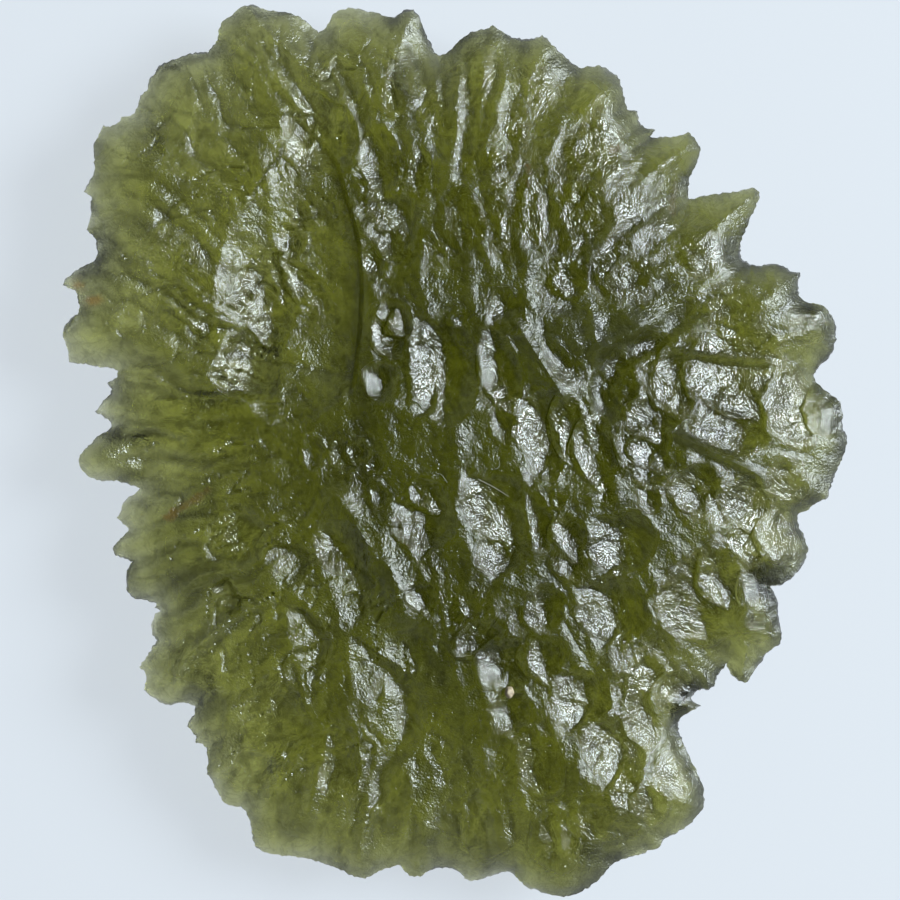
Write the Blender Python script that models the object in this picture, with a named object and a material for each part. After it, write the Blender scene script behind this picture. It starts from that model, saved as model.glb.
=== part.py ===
"""A piece of moldavite, the green natural glass, lying on its back.

The stone is a disc with a jagged, spiny rim. Both faces are covered with overlapping hollows
that meet in sharp crests. +X is to the right and +Y is up as the stone's face is seen, and
+Z points out of that face. All lengths are in metres.
"""
import bpy
import math
import numpy as np
from mathutils import Vector
from mathutils.geometry import delaunay_2d_cdt

# Driving dimensions
MM = 0.001
STONE_HEIGHT = 42.8 * MM
FACE_SPACING = 0.76 * MM
BACK_SPACING = 1.02 * MM
FACE_SKIRT = 3.0 * MM
FACE_DOME = 1.0 * MM
BACK_SKIRT = 2.3 * MM
BACK_DOME = 1.8 * MM
FLAT_SPOT_CUT = 0.62 * MM
CUT_CLEARANCE = 0.06 * MM
FLAT_SPOT_RADIUS = 5.0 * MM
RIM_WAVE = 1.1 * MM
EDGE_SOFTNESS = 1.6 * MM
EDGE_BLUNTNESS = 0.25
SEED = 417

# The outline was read off a picture, in its pixels, and is scaled to the real height
OUTLINE_TALL_PX = 892.0
CENTRE_X_PX = 456.0
CENTRE_Y_PX = 452.0
PX = STONE_HEIGHT / OUTLINE_TALL_PX

# Rim points in picture pixels, running down the left side, along the bottom and up the right
RIM_TOP_LEFT_PX = [
    (318, 32), (310, 25), (300, 17), (290, 13), (278, 11), (265, 9), (250, 6), (240, 8),
    (232, 15), (222, 21), (218, 31), (218, 40), (213, 48), (209, 54), (198, 55), (190, 54),
    (180, 58), (172, 60), (160, 67), (152, 77), (148, 88), (140, 95), (137, 107), (134, 113),
    (128, 116), (121, 117), (118, 123), (110, 127), (103, 125), (101, 130), (97, 139),
    (95, 152), (96, 165), (95, 175), (90, 184), (85, 191), (92, 196), (91, 210), (90, 222),
]
RIM_LEFT_PX = [
    (88, 230), (94, 234), (99, 241), (100, 252), (97, 260), (88, 265), (77, 271), (70, 279),
    (67, 285), (73, 288), (78, 293), (80, 301), (81, 308), (79, 315), (72, 322), (66, 330),
    (64, 336), (67, 344), (69, 352), (69, 361), (80, 363), (92, 365), (104, 367), (113, 368),
    (118, 371), (117, 378), (109, 383), (114, 389), (110, 397), (104, 402), (97, 411),
    (104, 414), (110, 420), (112, 427), (105, 435), (97, 441), (88, 449), (80, 455), (79, 462),
    (82, 470), (88, 476), (96, 479), (106, 480), (118, 481), (130, 485), (140, 488), (133, 495),
    (126, 500), (121, 506), (120, 513), (116, 518), (122, 524), (128, 529), (124, 535),
    (117, 542), (113, 549), (116, 555), (125, 557), (135, 560), (132, 567), (129, 574),
    (128, 583), (128, 592), (135, 598), (146, 600), (156, 603), (155, 607), (162, 611),
]
RIM_BOTTOM_LEFT_PX = [
    (155, 618), (153, 626), (155, 634), (160, 641), (152, 649), (146, 657), (139, 667),
    (145, 673), (146, 682), (145, 690), (150, 695), (158, 699), (165, 703), (170, 704),
    (176, 702), (188, 703), (195, 706), (195, 713), (192, 720), (188, 727), (193, 732),
    (197, 738), (196, 743), (203, 744), (207, 750), (208, 758), (207, 767), (207, 775),
    (213, 781), (214, 789), (218, 797), (223, 804), (231, 807), (240, 808), (246, 813),
    (249, 821), (252, 832), (255, 842), (257, 849), (264, 854), (274, 856), (286, 857),
    (300, 859), (313, 862), (325, 866), (338, 870), (346, 874), (354, 878), (365, 880),
]
RIM_BOTTOM_PX = [
    (374, 875), (384, 870), (392, 868), (398, 866), (403, 871), (409, 877), (420, 878),
    (427, 873), (435, 868), (445, 867), (455, 870), (462, 875), (465, 881), (472, 883),
    (480, 881), (490, 877), (500, 873), (510, 872), (516, 875), (521, 881), (528, 886),
    (540, 890), (550, 895), (564, 898), (578, 894), (590, 887), (600, 878), (606, 870),
    (614, 862), (623, 858), (638, 855), (650, 850), (659, 847), (662, 839), (672, 833),
    (684, 829), (693, 823), (697, 816), (703, 810), (705, 800), (704, 788), (700, 778),
    (695, 767), (690, 757), (684, 745), (679, 735), (676, 728), (679, 721), (685, 715),
    (693, 710), (701, 706), (693, 703), (690, 698), (696, 691), (702, 688), (709, 689),
]
RIM_RIGHT_PX = [
    (714, 686), (716, 679), (720, 672), (725, 666), (729, 662), (731, 669), (734, 676),
    (739, 681), (745, 683), (750, 679), (754, 672), (758, 664), (763, 657), (770, 650),
    (778, 645), (781, 639), (779, 631), (777, 622), (776, 612), (775, 601), (772, 593),
    (769, 586), (783, 583), (792, 577), (800, 567), (806, 557), (809, 549), (806, 540),
    (801, 530), (798, 521), (799, 514), (807, 511), (813, 505), (821, 500), (827, 497),
    (829, 488), (832, 478), (838, 469), (843, 460), (846, 451), (848, 443), (846, 437),
    (842, 431), (842, 423), (843, 413), (841, 404), (837, 398), (830, 393), (823, 388),
    (817, 382), (815, 376), (817, 369), (822, 362), (829, 356), (834, 349), (836, 339),
]
RIM_TOP_RIGHT_PX = [
    (835, 327), (831, 316), (824, 307), (815, 304), (806, 302), (800, 298), (796, 291),
    (796, 282), (798, 274), (790, 274), (783, 268), (778, 265), (768, 266), (757, 267),
    (748, 265), (741, 261), (738, 254), (740, 245), (744, 234), (749, 222), (754, 210),
    (759, 199), (760, 192), (755, 188), (744, 190), (729, 192), (712, 194), (698, 197),
    (690, 198), (689, 190), (690, 180), (693, 172), (697, 163), (700, 154), (701, 146),
    (696, 138), (689, 131), (682, 134), (670, 136), (656, 137), (650, 135), (655, 129),
    (645, 127), (637, 120), (636, 111), (627, 109), (625, 100), (623, 90), (620, 79),
    (611, 73), (600, 65), (590, 66), (579, 67), (572, 64), (564, 56), (556, 50), (550, 43),
]
RIM_TOP_PX = [
    (542, 36), (535, 40), (524, 41), (514, 39), (507, 35), (500, 30), (493, 25), (487, 28),
    (479, 30), (470, 32), (462, 39), (454, 47), (446, 54), (440, 56), (434, 52), (431, 46),
    (427, 35), (422, 25), (418, 16), (413, 11), (407, 12), (400, 15), (394, 18), (384, 15),
    (375, 11), (362, 9), (350, 7), (340, 8), (333, 12), (329, 21), (324, 28),
]
RIM_PX = (
    RIM_TOP_LEFT_PX + RIM_LEFT_PX + RIM_BOTTOM_LEFT_PX + RIM_BOTTOM_PX
    + RIM_RIGHT_PX + RIM_TOP_RIGHT_PX + RIM_TOP_PX
)

# Hollows of the face, each by the crest line on its left side: the line's upper end x, y and
# its lower end x, y, then how wide the hollow is to the right of that line, all in picture
# pixels, and last how steep its walls are, as a share of the usual
HOLLOWS_TOP_PX = [
    (370, 88, 374, 120, 30, 0.8), (412, 96, 421, 122, 28, 0.8), (426, 120, 432, 144, 26, 0.8),
    (493, 108, 498, 148, 30, 0.8), (448, 160, 456, 184, 26, 0.8), (470, 158, 480, 184, 30, 0.8),
    (350, 132, 357, 208, 44, 0.8), (357, 213, 402, 244, 34, 0.9), (362, 243, 394, 276, 36, 0.9),
    (357, 253, 363, 286, 26, 0.9), (405, 244, 442, 272, 30, 0.8), (425, 200, 440, 258, 50, 0.9),
    (474, 188, 492, 270, 38, 0.8), (550, 133, 562, 186, 62, 0.8), (500, 178, 508, 250, 40, 0.8),
    (540, 190, 552, 246, 60, 0.6), (584, 250, 592, 304, 44, 0.8), (548, 244, 568, 268, 30, 0.8),
    (268, 116, 304, 188, 66, 0.7), (310, 60, 322, 112, 44, 0.6), (388, 30, 396, 84, 34, 0.6),
    (455, 60, 462, 112, 34, 0.6), (512, 56, 520, 120, 34, 0.7), (560, 76, 566, 128, 46, 0.5),
    (392, 148, 400, 208, 34, 0.7), (330, 20, 336, 60, 34, 0.5), (590, 186, 606, 240, 46, 0.6),
]
HOLLOWS_CENTRE_PX = [
    (381, 320, 391, 346, 26, 0.9), (402, 318, 405, 420, 66, 1.0), (437, 316, 449, 334, 24, 0.8),
    (476, 306, 501, 346, 38, 0.9), (465, 338, 483, 412, 42, 1.0), (480, 412, 487, 450, 30, 0.9),
    (503, 398, 518, 480, 54, 1.0), (524, 345, 556, 398, 30, 0.7), (563, 420, 570, 488, 46, 0.9),
    (577, 518, 585, 574, 64, 1.0), (617, 392, 624, 442, 54, 0.8), (620, 440, 624, 462, 44, 0.8),
    (617, 472, 640, 502, 34, 0.9), (640, 460, 656, 484, 26, 0.8), (585, 472, 588, 508, 26, 0.8),
    (662, 472, 668, 520, 50, 0.9), (620, 500, 650, 524, 30, 0.8), (686, 554, 700, 610, 40, 0.9),
    (695, 513, 716, 534, 30, 0.8), (358, 366, 362, 404, 36, 0.9), (537, 274, 550, 306, 44, 0.9),
    (366, 300, 370, 366, 42, 0.9), (596, 350, 600, 420, 34, 0.9), (644, 350, 650, 420, 44, 0.8),
    (540, 396, 552, 470, 34, 0.9), (608, 420, 612, 470, 30, 0.8), (620, 340, 640, 384, 40, 0.8),
]
HOLLOWS_MIDDLE_LOW_PX = [
    (384, 508, 402, 560, 54, 1.0), (400, 484, 418, 522, 34, 0.9), (360, 492, 376, 514, 26, 0.8),
    (358, 460, 366, 482, 26, 0.8), (340, 450, 356, 472, 26, 0.8), (457, 478, 462, 536, 58, 1.0),
    (464, 536, 480, 580, 56, 1.0), (503, 500, 522, 556, 40, 0.9), (541, 516, 553, 564, 34, 0.9),
    (538, 560, 566, 594, 34, 0.9), (510, 596, 522, 634, 46, 0.9), (564, 592, 586, 652, 66, 1.0),
    (542, 496, 554, 514, 22, 0.8), (446, 626, 453, 660, 50, 0.9), (462, 656, 482, 702, 60, 1.0),
    (478, 700, 488, 738, 48, 0.9), (541, 676, 551, 732, 56, 0.9), (574, 722, 592, 790, 56, 1.0),
    (600, 764, 608, 816, 38, 0.9), (622, 786, 632, 826, 36, 0.9), (617, 656, 619, 744, 44, 1.0),
    (395, 588, 410, 620, 34, 0.8), (640, 574, 652, 640, 92, 0.7), (430, 600, 446, 640, 30, 0.7),
    (510, 640, 524, 690, 44, 0.8), (500, 734, 512, 800, 50, 0.7),
]
HOLLOWS_LOW_LEFT_PX = [
    (330, 598, 352, 628, 30, 1.15), (370, 602, 378, 634, 28, 1.15), (343, 636, 352, 692, 40, 1.15),
    (345, 696, 352, 752, 40, 1.15), (350, 764, 370, 816, 48, 1.15), (278, 616, 292, 688, 50, 1.15),
    (256, 556, 266, 586, 52, 1.15), (200, 520, 222, 576, 58, 0.6), (212, 582, 220, 616, 22, 2.4),
    (236, 690, 252, 760, 60, 0.6), (300, 720, 312, 800, 50, 0.6),
    (450, 800, 458, 860, 44, 0.5), (520, 812, 530, 876, 50, 0.6),
    (560, 806, 570, 846, 40, 0.8), (160, 640, 176, 690, 50, 0.6), (218, 768, 240, 800, 44, 0.6),
    (320, 440, 334, 480, 30, 0.8), (290, 440, 300, 476, 30, 0.7), (300, 540, 330, 586, 50, 0.8),
]
HOLLOWS_RIGHT_PX = [
    (712, 482, 720, 532, 48, 0.9), (715, 530, 730, 570, 44, 0.9), (729, 566, 738, 616, 34, 0.9),
    (746, 516, 760, 572, 48, 0.8), (754, 376, 764, 452, 56, 0.9), (690, 276, 700, 346, 80, 0.7),
    (645, 204, 656, 238, 32, 0.8), (670, 222, 682, 262, 36, 0.8), (664, 254, 692, 290, 44, 0.8),
    (600, 262, 612, 310, 40, 0.7), (676, 366, 684, 398, 90, 0.6), (684, 402, 690, 452, 76, 1.0),
    (770, 300, 778, 350, 56, 0.6), (800, 386, 806, 440, 40, 0.7), (722, 200, 728, 250, 30, 0.5),
    (612, 130, 620, 180, 60, 0.6), (730, 616, 742, 652, 36, 0.7), (645, 676, 654, 720, 44, 0.7),
    (648, 736, 656, 800, 44, 0.7), (752, 470, 770, 512, 44, 0.7),
]
HOLLOWS_LEFT_PX = [
    (284, 204, 292, 236, 24, 0.9), (268, 230, 276, 264, 32, 0.9), (230, 258, 236, 344, 56, 0.9),
    (208, 342, 222, 406, 60, 0.9), (270, 272, 318, 324, 30, 0.7), (188, 322, 191, 344, 34, 0.7),
    (150, 120, 170, 200, 60, 0.5), (120, 230, 140, 320, 60, 0.45), (190, 130, 206, 220, 60, 0.5),
    (120, 390, 130, 460, 70, 0.45), (180, 410, 192, 480, 60, 0.5), (222, 80, 240, 130, 50, 0.5),
    (176, 240, 186, 310, 50, 0.45),
]
HOLLOWS_PX = (
    HOLLOWS_TOP_PX + HOLLOWS_CENTRE_PX + HOLLOWS_MIDDLE_LOW_PX + HOLLOWS_LOW_LEFT_PX
    + HOLLOWS_RIGHT_PX + HOLLOWS_LEFT_PX
)
HOLLOW_DEPTH_PER_WIDTH = 0.29
STEEPER_LEFT = 0.6
STEEPER_LEFT_OF_PX = 450.0
STEEPER_OVER_PX = 180.0
CUT_ORDER = (0.93, 0.37)
CREST_WALL = 0.13 * MM
LEFT_WALL_BEND = 1.12
WANDER = 0.16 * MM
WANDER_PITCH = 0.95 * MM

# The wide smooth bowl left of the middle, the long furrow that runs down to the lower rim, and
# the narrow bent channel right of the middle
BOWL_PX = (292, 306)
BOWL_HALF_WIDE_PX = 76.0
BOWL_HALF_TALL_PX = 122.0
BOWL_DEPTH = 1.15 * MM
FURROW_PX = [(402, 600), (420, 670), (436, 745), (456, 812), (472, 880)]
FURROW_HALF_WIDE_PX = 36.0
FURROW_DEPTH = 0.46 * MM
CHANNEL_PX = [(704, 300), (655, 336), (610, 362), (600, 392), (610, 428)]
CHANNEL_HALF_WIDE_PX = 15.0
CHANNEL_DEPTH = 0.55 * MM

# The steep ledge on the bowl's right side, and how far and how deep the face drops left of it
LEDGE_PX = [
    (276, 112), (300, 120), (322, 140), (340, 165), (350, 200), (356, 220), (362, 245),
    (365, 290), (363, 330), (358, 380), (352, 402),
]
LEDGE_DROP = 0.95 * MM
LEDGE_WALL_PX = 5.0
LEDGE_REACH_PX = 70.0

# The thin flange on the left
FLANGE_DROP = 0.5 * MM
FLANGE_START_PX = 330.0
FLANGE_WIDE_PX = 200.0

# Thin raised fins, each by its two ends, its half width and its rise
FINS_PX = [
    (668, 353, 772, 364, 9.0, 0.75), (668, 432, 756, 474, 9.0, 0.75),
    (566, 404, 508, 312, 17.0, 0.70), (584, 356, 668, 318, 20.0, 0.75),
    (545, 345, 600, 334, 26.0, 0.60), (310, 478, 345, 530, 14.0, 0.60),
    (345, 530, 388, 612, 14.0, 0.60), (642, 676, 700, 826, 12.0, 0.50),
]

# Where the stone is thick, in picture pixels
FACE_THICK_X_PX = 565.0
FACE_THICK_Y_PX = 436.0
BACK_THICK_X_PX = 550.0
BACK_THICK_Y_PX = 442.0
FACE_THICK_WIDE_PX = 340.0
FACE_THICK_TALL_PX = 450.0
BACK_THICK_WIDE_PX = 315.0
BACK_THICK_TALL_PX = 400.0
DOME_SQUARENESS = 1.6
FLAT_X_PX = 490.0
FLAT_Y_PX = 442.0
HUB_X_PX = 470.0
HUB_Y_PX = 400.0

# Ribs that run in from the rim, and the smaller hollows scattered over both faces
RIB_RISE = 0.55 * MM
RIB_PITCH = 1.35 * MM
RIB_REACH = 5.0 * MM
MID_CELL = 1.75 * MM
MID_DEPTH = 0.30 * MM
MID_HELD_BACK = 0.9
BACK_CELL = 3.4 * MM
BACK_DEPTH = 1.25 * MM
BACK_MID_CELL = 1.7 * MM
BACK_MID_DEPTH = 0.45 * MM

# Rows of points along the crests: their pitch in spacings, how far apart the two rows of a
# crest stand, how far round the hollow they go in radians, and how near points may come to
# each other in spacings, in a row and in the even spread
CREST_PITCH = 0.8
CREST_ROWS_APART = 0.13 * MM
CREST_TURN = 1.25
NEAR_IN_ROW = 0.16
NEAR_IN_SPREAD = 0.6

# Colours
GLASS_GREEN = (0.145, 0.19, 0.03, 1.0)
GLASS_ROUGHNESS = 0.18


def plane(points_px):
    """Picture pixels to metres on the stone's plane."""
    p = np.asarray(points_px, dtype=float)
    x = (p[:, 0] - CENTRE_X_PX) * PX
    y = (CENTRE_Y_PX - p[:, 1]) * PX
    return np.stack([x, y], axis=1)


def segment_distance(p, a, b):
    """Distance from points to one segment, how far along it, and which side they are on."""
    d = b - a
    length = math.hypot(d[0], d[1])
    d = d / length
    r = p - a
    along = np.clip(r @ d, 0.0, length)
    off = r - along[:, None] * d
    side = d[0] * r[:, 1] - d[1] * r[:, 0]
    return np.hypot(off[:, 0], off[:, 1]), along / length, side


def rim_distance(p, rim):
    """Distance from points to the rim."""
    best = np.full(len(p), 1.0)
    for i in range(len(rim)):
        d = segment_distance(p, rim[i], rim[(i + 1) % len(rim)])[0]
        best = np.minimum(best, d)
    return best


def inside_rim(p, rim):
    """True for the points that lie inside the closed rim."""
    x = p[:, 0]
    y = p[:, 1]
    inside = np.zeros(len(p), dtype=bool)
    for i in range(len(rim)):
        x0, y0 = rim[i]
        x1, y1 = rim[(i + 1) % len(rim)]
        if y0 == y1:
            continue
        crosses = (y0 > y) != (y1 > y)
        at = x0 + (y - y0) * (x1 - x0) / (y1 - y0)
        inside ^= crosses & (x < at)
    return inside


def ease(x):
    """Smooth step from 0 to 1."""
    t = np.clip(x, 0.0, 1.0)
    return t * t * (3.0 - 2.0 * t)


def lattice(ix, iy, seed):
    """A repeatable random number from 0 to 1 for each whole-number cell."""
    h = np.sin(ix * 127.1 + iy * 311.7 + seed * 74.7) * 43758.5453
    return h - np.floor(h)


def smooth_noise(x, y, seed):
    """Smoothly varying noise from -1 to 1."""
    ix = np.floor(x)
    iy = np.floor(y)
    fx = ease(x - ix)
    fy = ease(y - iy)
    low = lattice(ix, iy, seed) * (1 - fx) + lattice(ix + 1, iy, seed) * fx
    high = lattice(ix, iy + 1, seed) * (1 - fx) + lattice(ix + 1, iy + 1, seed) * fx
    return 2.0 * (low * (1 - fy) + high * fy) - 1.0


def lie_of(p):
    """Direction in which hollows are stretched: slanting in the middle, radial at the rim."""
    hub = plane([(HUB_X_PX, HUB_Y_PX)])[0]
    r = p - hub
    far = np.hypot(r[:, 0], r[:, 1])
    radial = np.arctan2(r[:, 1], r[:, 0])
    slant = -1.08
    w = ease((far - 7.0 * MM) / (9.0 * MM))
    # Directions that differ by half a turn are the same, so they are blended doubled
    cx = (1 - w) * math.cos(2 * slant) + w * np.cos(2 * radial)
    cy = (1 - w) * math.sin(2 * slant) + w * np.sin(2 * radial)
    return 0.5 * np.arctan2(cy, cx)


def scattered_hollows(p, cell, seed):
    """Depth from 0 to 1 of overlapping oval hollows, about one to each cell."""
    ix = np.floor(p[:, 0] / cell)
    iy = np.floor(p[:, 1] / cell)
    deepest = np.zeros(len(p))
    for ox in (-2, -1, 0, 1, 2):
        for oy in (-2, -1, 0, 1, 2):
            cx = ix + ox
            cy = iy + oy
            at = np.stack([
                (cx + 0.1 + 0.8 * lattice(cx, cy, seed)) * cell,
                (cy + 0.1 + 0.8 * lattice(cx, cy, seed + 1)) * cell,
            ], axis=1)
            turn = lie_of(at) + 0.7 * (lattice(cx, cy, seed + 2) - 0.5)
            size = cell * (0.62 + 0.5 * lattice(cx, cy, seed + 3))
            r = p - at
            along = r[:, 0] * np.cos(turn) + r[:, 1] * np.sin(turn)
            across = -r[:, 0] * np.sin(turn) + r[:, 1] * np.cos(turn)
            q = (along / (1.15 * size)) ** 2 + (across / (0.80 * size)) ** 2
            deepest = np.maximum(deepest, (size / cell) * (1.0 - q))
    return deepest


def hollow_shapes():
    """Centre, direction, half length, half width and depth of each hollow, lowest first."""
    shapes = []
    for ax, ay, bx, by, wide, steep in HOLLOWS_PX:
        a, b = plane([(ax, ay), (bx, by)])
        d = b - a
        length = math.hypot(d[0], d[1])
        d = d / length
        across = np.array([-d[1], d[0]])
        half_wide = wide * PX * 0.62
        half_long = max(length * 0.62, half_wide * 0.9)
        centre = (a + b) / 2 + across * half_wide * 0.95
        leftward = ease((STEEPER_LEFT_OF_PX - ax) / STEEPER_OVER_PX)
        depth = HOLLOW_DEPTH_PER_WIDTH * steep * wide * PX * (1.0 + STEEPER_LEFT * leftward)
        shapes.append((centre, d, half_long, half_wide, depth))
    # A hollow nearer the upper right was eaten in later, and cuts those before it
    shapes.sort(key=lambda shape: shape[0][0] * CUT_ORDER[0] + shape[0][1] * CUT_ORDER[1])
    return shapes


def wandering(p):
    """Places shifted a little, so that edges drawn through them wander."""
    x = p[:, 0] / WANDER_PITCH
    y = p[:, 1] / WANDER_PITCH
    return p + WANDER * np.stack([
        smooth_noise(x, y, SEED + 30) + 0.5 * smooth_noise(2.3 * x, 2.3 * y, SEED + 31),
        smooth_noise(x, y, SEED + 32) + 0.5 * smooth_noise(2.3 * x, 2.3 * y, SEED + 33),
    ], axis=1)


def main_hollows(p):
    """Depth of the face's hollows. Each has a sharp crest on its left, which later ones cut."""
    depth = np.zeros(len(p))
    p = wandering(p)
    for centre, d, half_long, half_wide, deep in hollow_shapes():
        near = np.flatnonzero(np.abs(p - centre).max(axis=1) < max(half_long, half_wide))
        across = np.array([-d[1], d[0]])
        r = p[near] - centre
        u = (r @ d) / half_long
        v = (r @ across) / half_wide
        q = u * u + np.where(v < 0, np.abs(v) ** LEFT_WALL_BEND, v * v)
        own = deep * (1.0 - q)
        before = depth[near]
        left = ease((1.0 - np.sqrt(q)) * half_wide / CREST_WALL) * ease(0.6 - 2.0 * v)
        joined = np.maximum(before, own)
        depth[near] = joined * (1.0 - left) + own * left
    return depth


def bowl_depth(p):
    """The wide bowl, steeper at its side than a plain dish."""
    c = plane([BOWL_PX])[0]
    q = ((p[:, 0] - c[0]) / (BOWL_HALF_WIDE_PX * PX)) ** 2
    q = q + ((p[:, 1] - c[1]) / (BOWL_HALF_TALL_PX * PX)) ** 2
    return BOWL_DEPTH * np.clip(1.0 - q ** 1.4, 0.0, 1.0)


def line_distance(p, line_px):
    """Distance to a bent line, the side of its nearest part, and how far along it lies."""
    line = plane(line_px)
    best = np.full(len(p), 1.0)
    best_side = np.zeros(len(p))
    best_along = np.zeros(len(p))
    for i in range(len(line) - 1):
        dist, along, side = segment_distance(p, line[i], line[i + 1])
        near = dist < best
        best = np.where(near, dist, best)
        best_side = np.where(near, side, best_side)
        best_along = np.where(near, (i + along) / (len(line) - 1), best_along)
    return best, best_side, best_along


def ledge_drop(p):
    """How far the face drops on the left side of the ledge."""
    dist, side, along = line_distance(p, LEDGE_PX)
    ends = ease(along / 0.25) * ease((1.0 - along) / 0.12)
    wall = ease(dist / (LEDGE_WALL_PX * PX))
    fade = np.exp(-(dist / (LEDGE_REACH_PX * PX)) ** 2)
    return np.where(side < 0, LEDGE_DROP * ends * wall * fade, 0.0)


def furrow_depth(p):
    """The long furrow down to the lower rim, and the narrow channel."""
    dist, side, along = line_distance(p, FURROW_PX)
    depth = FURROW_DEPTH * ease(along / 0.2)
    depth = depth * np.clip(1.0 - (dist / (FURROW_HALF_WIDE_PX * PX)) ** 2, 0.0, 1.0)
    dist, side, along = line_distance(p, CHANNEL_PX)
    channel = CHANNEL_DEPTH * ease(along / 0.15) * ease((1.0 - along) / 0.15)
    return depth + channel * np.clip(1.0 - (dist / (CHANNEL_HALF_WIDE_PX * PX)) ** 2, 0.0, 1.0)


def fin_rise(p):
    """The thin raised fins."""
    rise = np.zeros(len(p))
    for ax, ay, bx, by, half, tall in FINS_PX:
        a, b = plane([(ax, ay), (bx, by)])
        dist, along, side = segment_distance(p, a, b)
        ends = ease((along + 0.08) / 0.2) * ease((1.08 - along) / 0.2)
        sharp = np.clip(1.0 - dist / (half * PX), 0.0, 1.0)
        rise = np.maximum(rise, tall * MM * ends * sharp ** 1.2)
    return rise


def ribs(p, edge, seed):
    """Ribs that run in from the rim towards the hub, as a rise above and below zero."""
    hub = plane([(HUB_X_PX, HUB_Y_PX)])[0]
    r = p - hub
    far = np.hypot(r[:, 0], r[:, 1])
    turn = np.arctan2(r[:, 1], r[:, 0]) + 0.05 * smooth_noise(far / (2.6 * MM), r[:, 0] * 60, seed)
    lines = turn * (18.0 * MM) / RIB_PITCH
    wave = smooth_noise(lines, far / (7.0 * MM), seed + 1)
    wave = wave + 0.5 * smooth_noise(lines * 2.3, far / (4.0 * MM), seed + 2)
    near_rim = np.exp(-(edge / RIB_REACH) ** 2)
    where = 0.28 + 0.72 * ease(0.35 - r[:, 0] / (18.0 * MM))
    return RIB_RISE * near_rim * where * (0.35 - np.abs(wave)) * 1.3


def dome(p, middle_px, wide_px, tall_px):
    """A rounded swelling from 0 to 1 around the stone's thick part."""
    c = plane([middle_px])[0]
    q = ((p[:, 0] - c[0]) / (wide_px * PX)) ** 2 + ((p[:, 1] - c[1]) / (tall_px * PX)) ** 2
    return np.exp(-q ** DOME_SQUARENESS)


def middle(p, edge):
    """Height of the surface midway between face and back."""
    x = p[:, 0]
    y = p[:, 1]
    wave = smooth_noise(x / (9.0 * MM), y / (9.0 * MM), SEED)
    small = smooth_noise(x / (2.4 * MM), y / (2.4 * MM), SEED + 5)
    near_rim = np.exp(-edge / (2.5 * MM))
    lift = 0.9 * MM * ease(-(x + 5.0 * MM) / (14.0 * MM))
    outer = 0.12 + 0.88 * np.exp(-edge / (4.0 * MM))
    return lift + RIM_WAVE * (0.6 * outer * wave + 0.45 * near_rim * small)


def taper(edge):
    """How the thickness grows from the blunt rim."""
    return EDGE_BLUNTNESS + (1.0 - EDGE_BLUNTNESS) * edge / (edge + EDGE_SOFTNESS)


def carved(full, depth):
    """Height left over after carving, which never reaches nothing."""
    safe = np.maximum(full, 1e-9)
    return full * np.exp(-np.maximum(depth, -1.2 * safe) / safe)


def face_height(p, edge):
    """Height of the face above the middle surface."""
    thick_px = (FACE_THICK_X_PX, FACE_THICK_Y_PX)
    full = FACE_SKIRT + FACE_DOME * dome(p, thick_px, FACE_THICK_WIDE_PX, FACE_THICK_TALL_PX)
    main = main_hollows(p)
    depth = main + bowl_depth(p) + ledge_drop(p) + furrow_depth(p)
    left_px = p[:, 0] / PX + CENTRE_X_PX
    depth = depth + FLANGE_DROP * ease((FLANGE_START_PX - left_px) / FLANGE_WIDE_PX)
    bare = 1.0 - MID_HELD_BACK * ease(main / (0.18 * MM))
    depth = depth + MID_DEPTH * bare * scattered_hollows(p, MID_CELL, SEED + 10)
    depth = depth - fin_rise(p) - ribs(p, edge, SEED + 20)
    return carved(full, depth) * taper(edge)


def back_height(p, edge):
    """Depth of the back below the middle surface."""
    thick_px = (BACK_THICK_X_PX, BACK_THICK_Y_PX)
    full = BACK_SKIRT + BACK_DOME * dome(p, thick_px, BACK_THICK_WIDE_PX, BACK_THICK_TALL_PX)
    c = plane([(FLAT_X_PX, FLAT_Y_PX)])[0]
    away = np.hypot(p[:, 0] - c[0], p[:, 1] - c[1]) / FLAT_SPOT_RADIUS
    worn = ease((away - 0.75) / 0.7)
    depth = BACK_DEPTH * scattered_hollows(p, BACK_CELL, SEED + 40)
    depth = depth + BACK_MID_DEPTH * scattered_hollows(p, BACK_MID_CELL, SEED + 50)
    depth = depth * worn - ribs(p, edge, SEED + 60)
    return carved(full, depth) * taper(edge)


def hexagonal_points(rim, spacing):
    """Evenly spread points well inside the rim."""
    low = rim.min(axis=0)
    high = rim.max(axis=0)
    rows = int((high[1] - low[1]) / (spacing * math.sqrt(0.75))) + 1
    columns = int((high[0] - low[0]) / spacing) + 1
    row, column = np.meshgrid(np.arange(rows), np.arange(columns), indexing="ij")
    x = low[0] + (column + 0.5 * (row % 2)) * spacing
    y = low[1] + (row + 0.5) * spacing * math.sqrt(0.75)
    p = np.stack([x.ravel(), y.ravel()], axis=1)
    p = p[inside_rim(p, rim)]
    return p[rim_distance(p, rim) > 0.42 * spacing]


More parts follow.
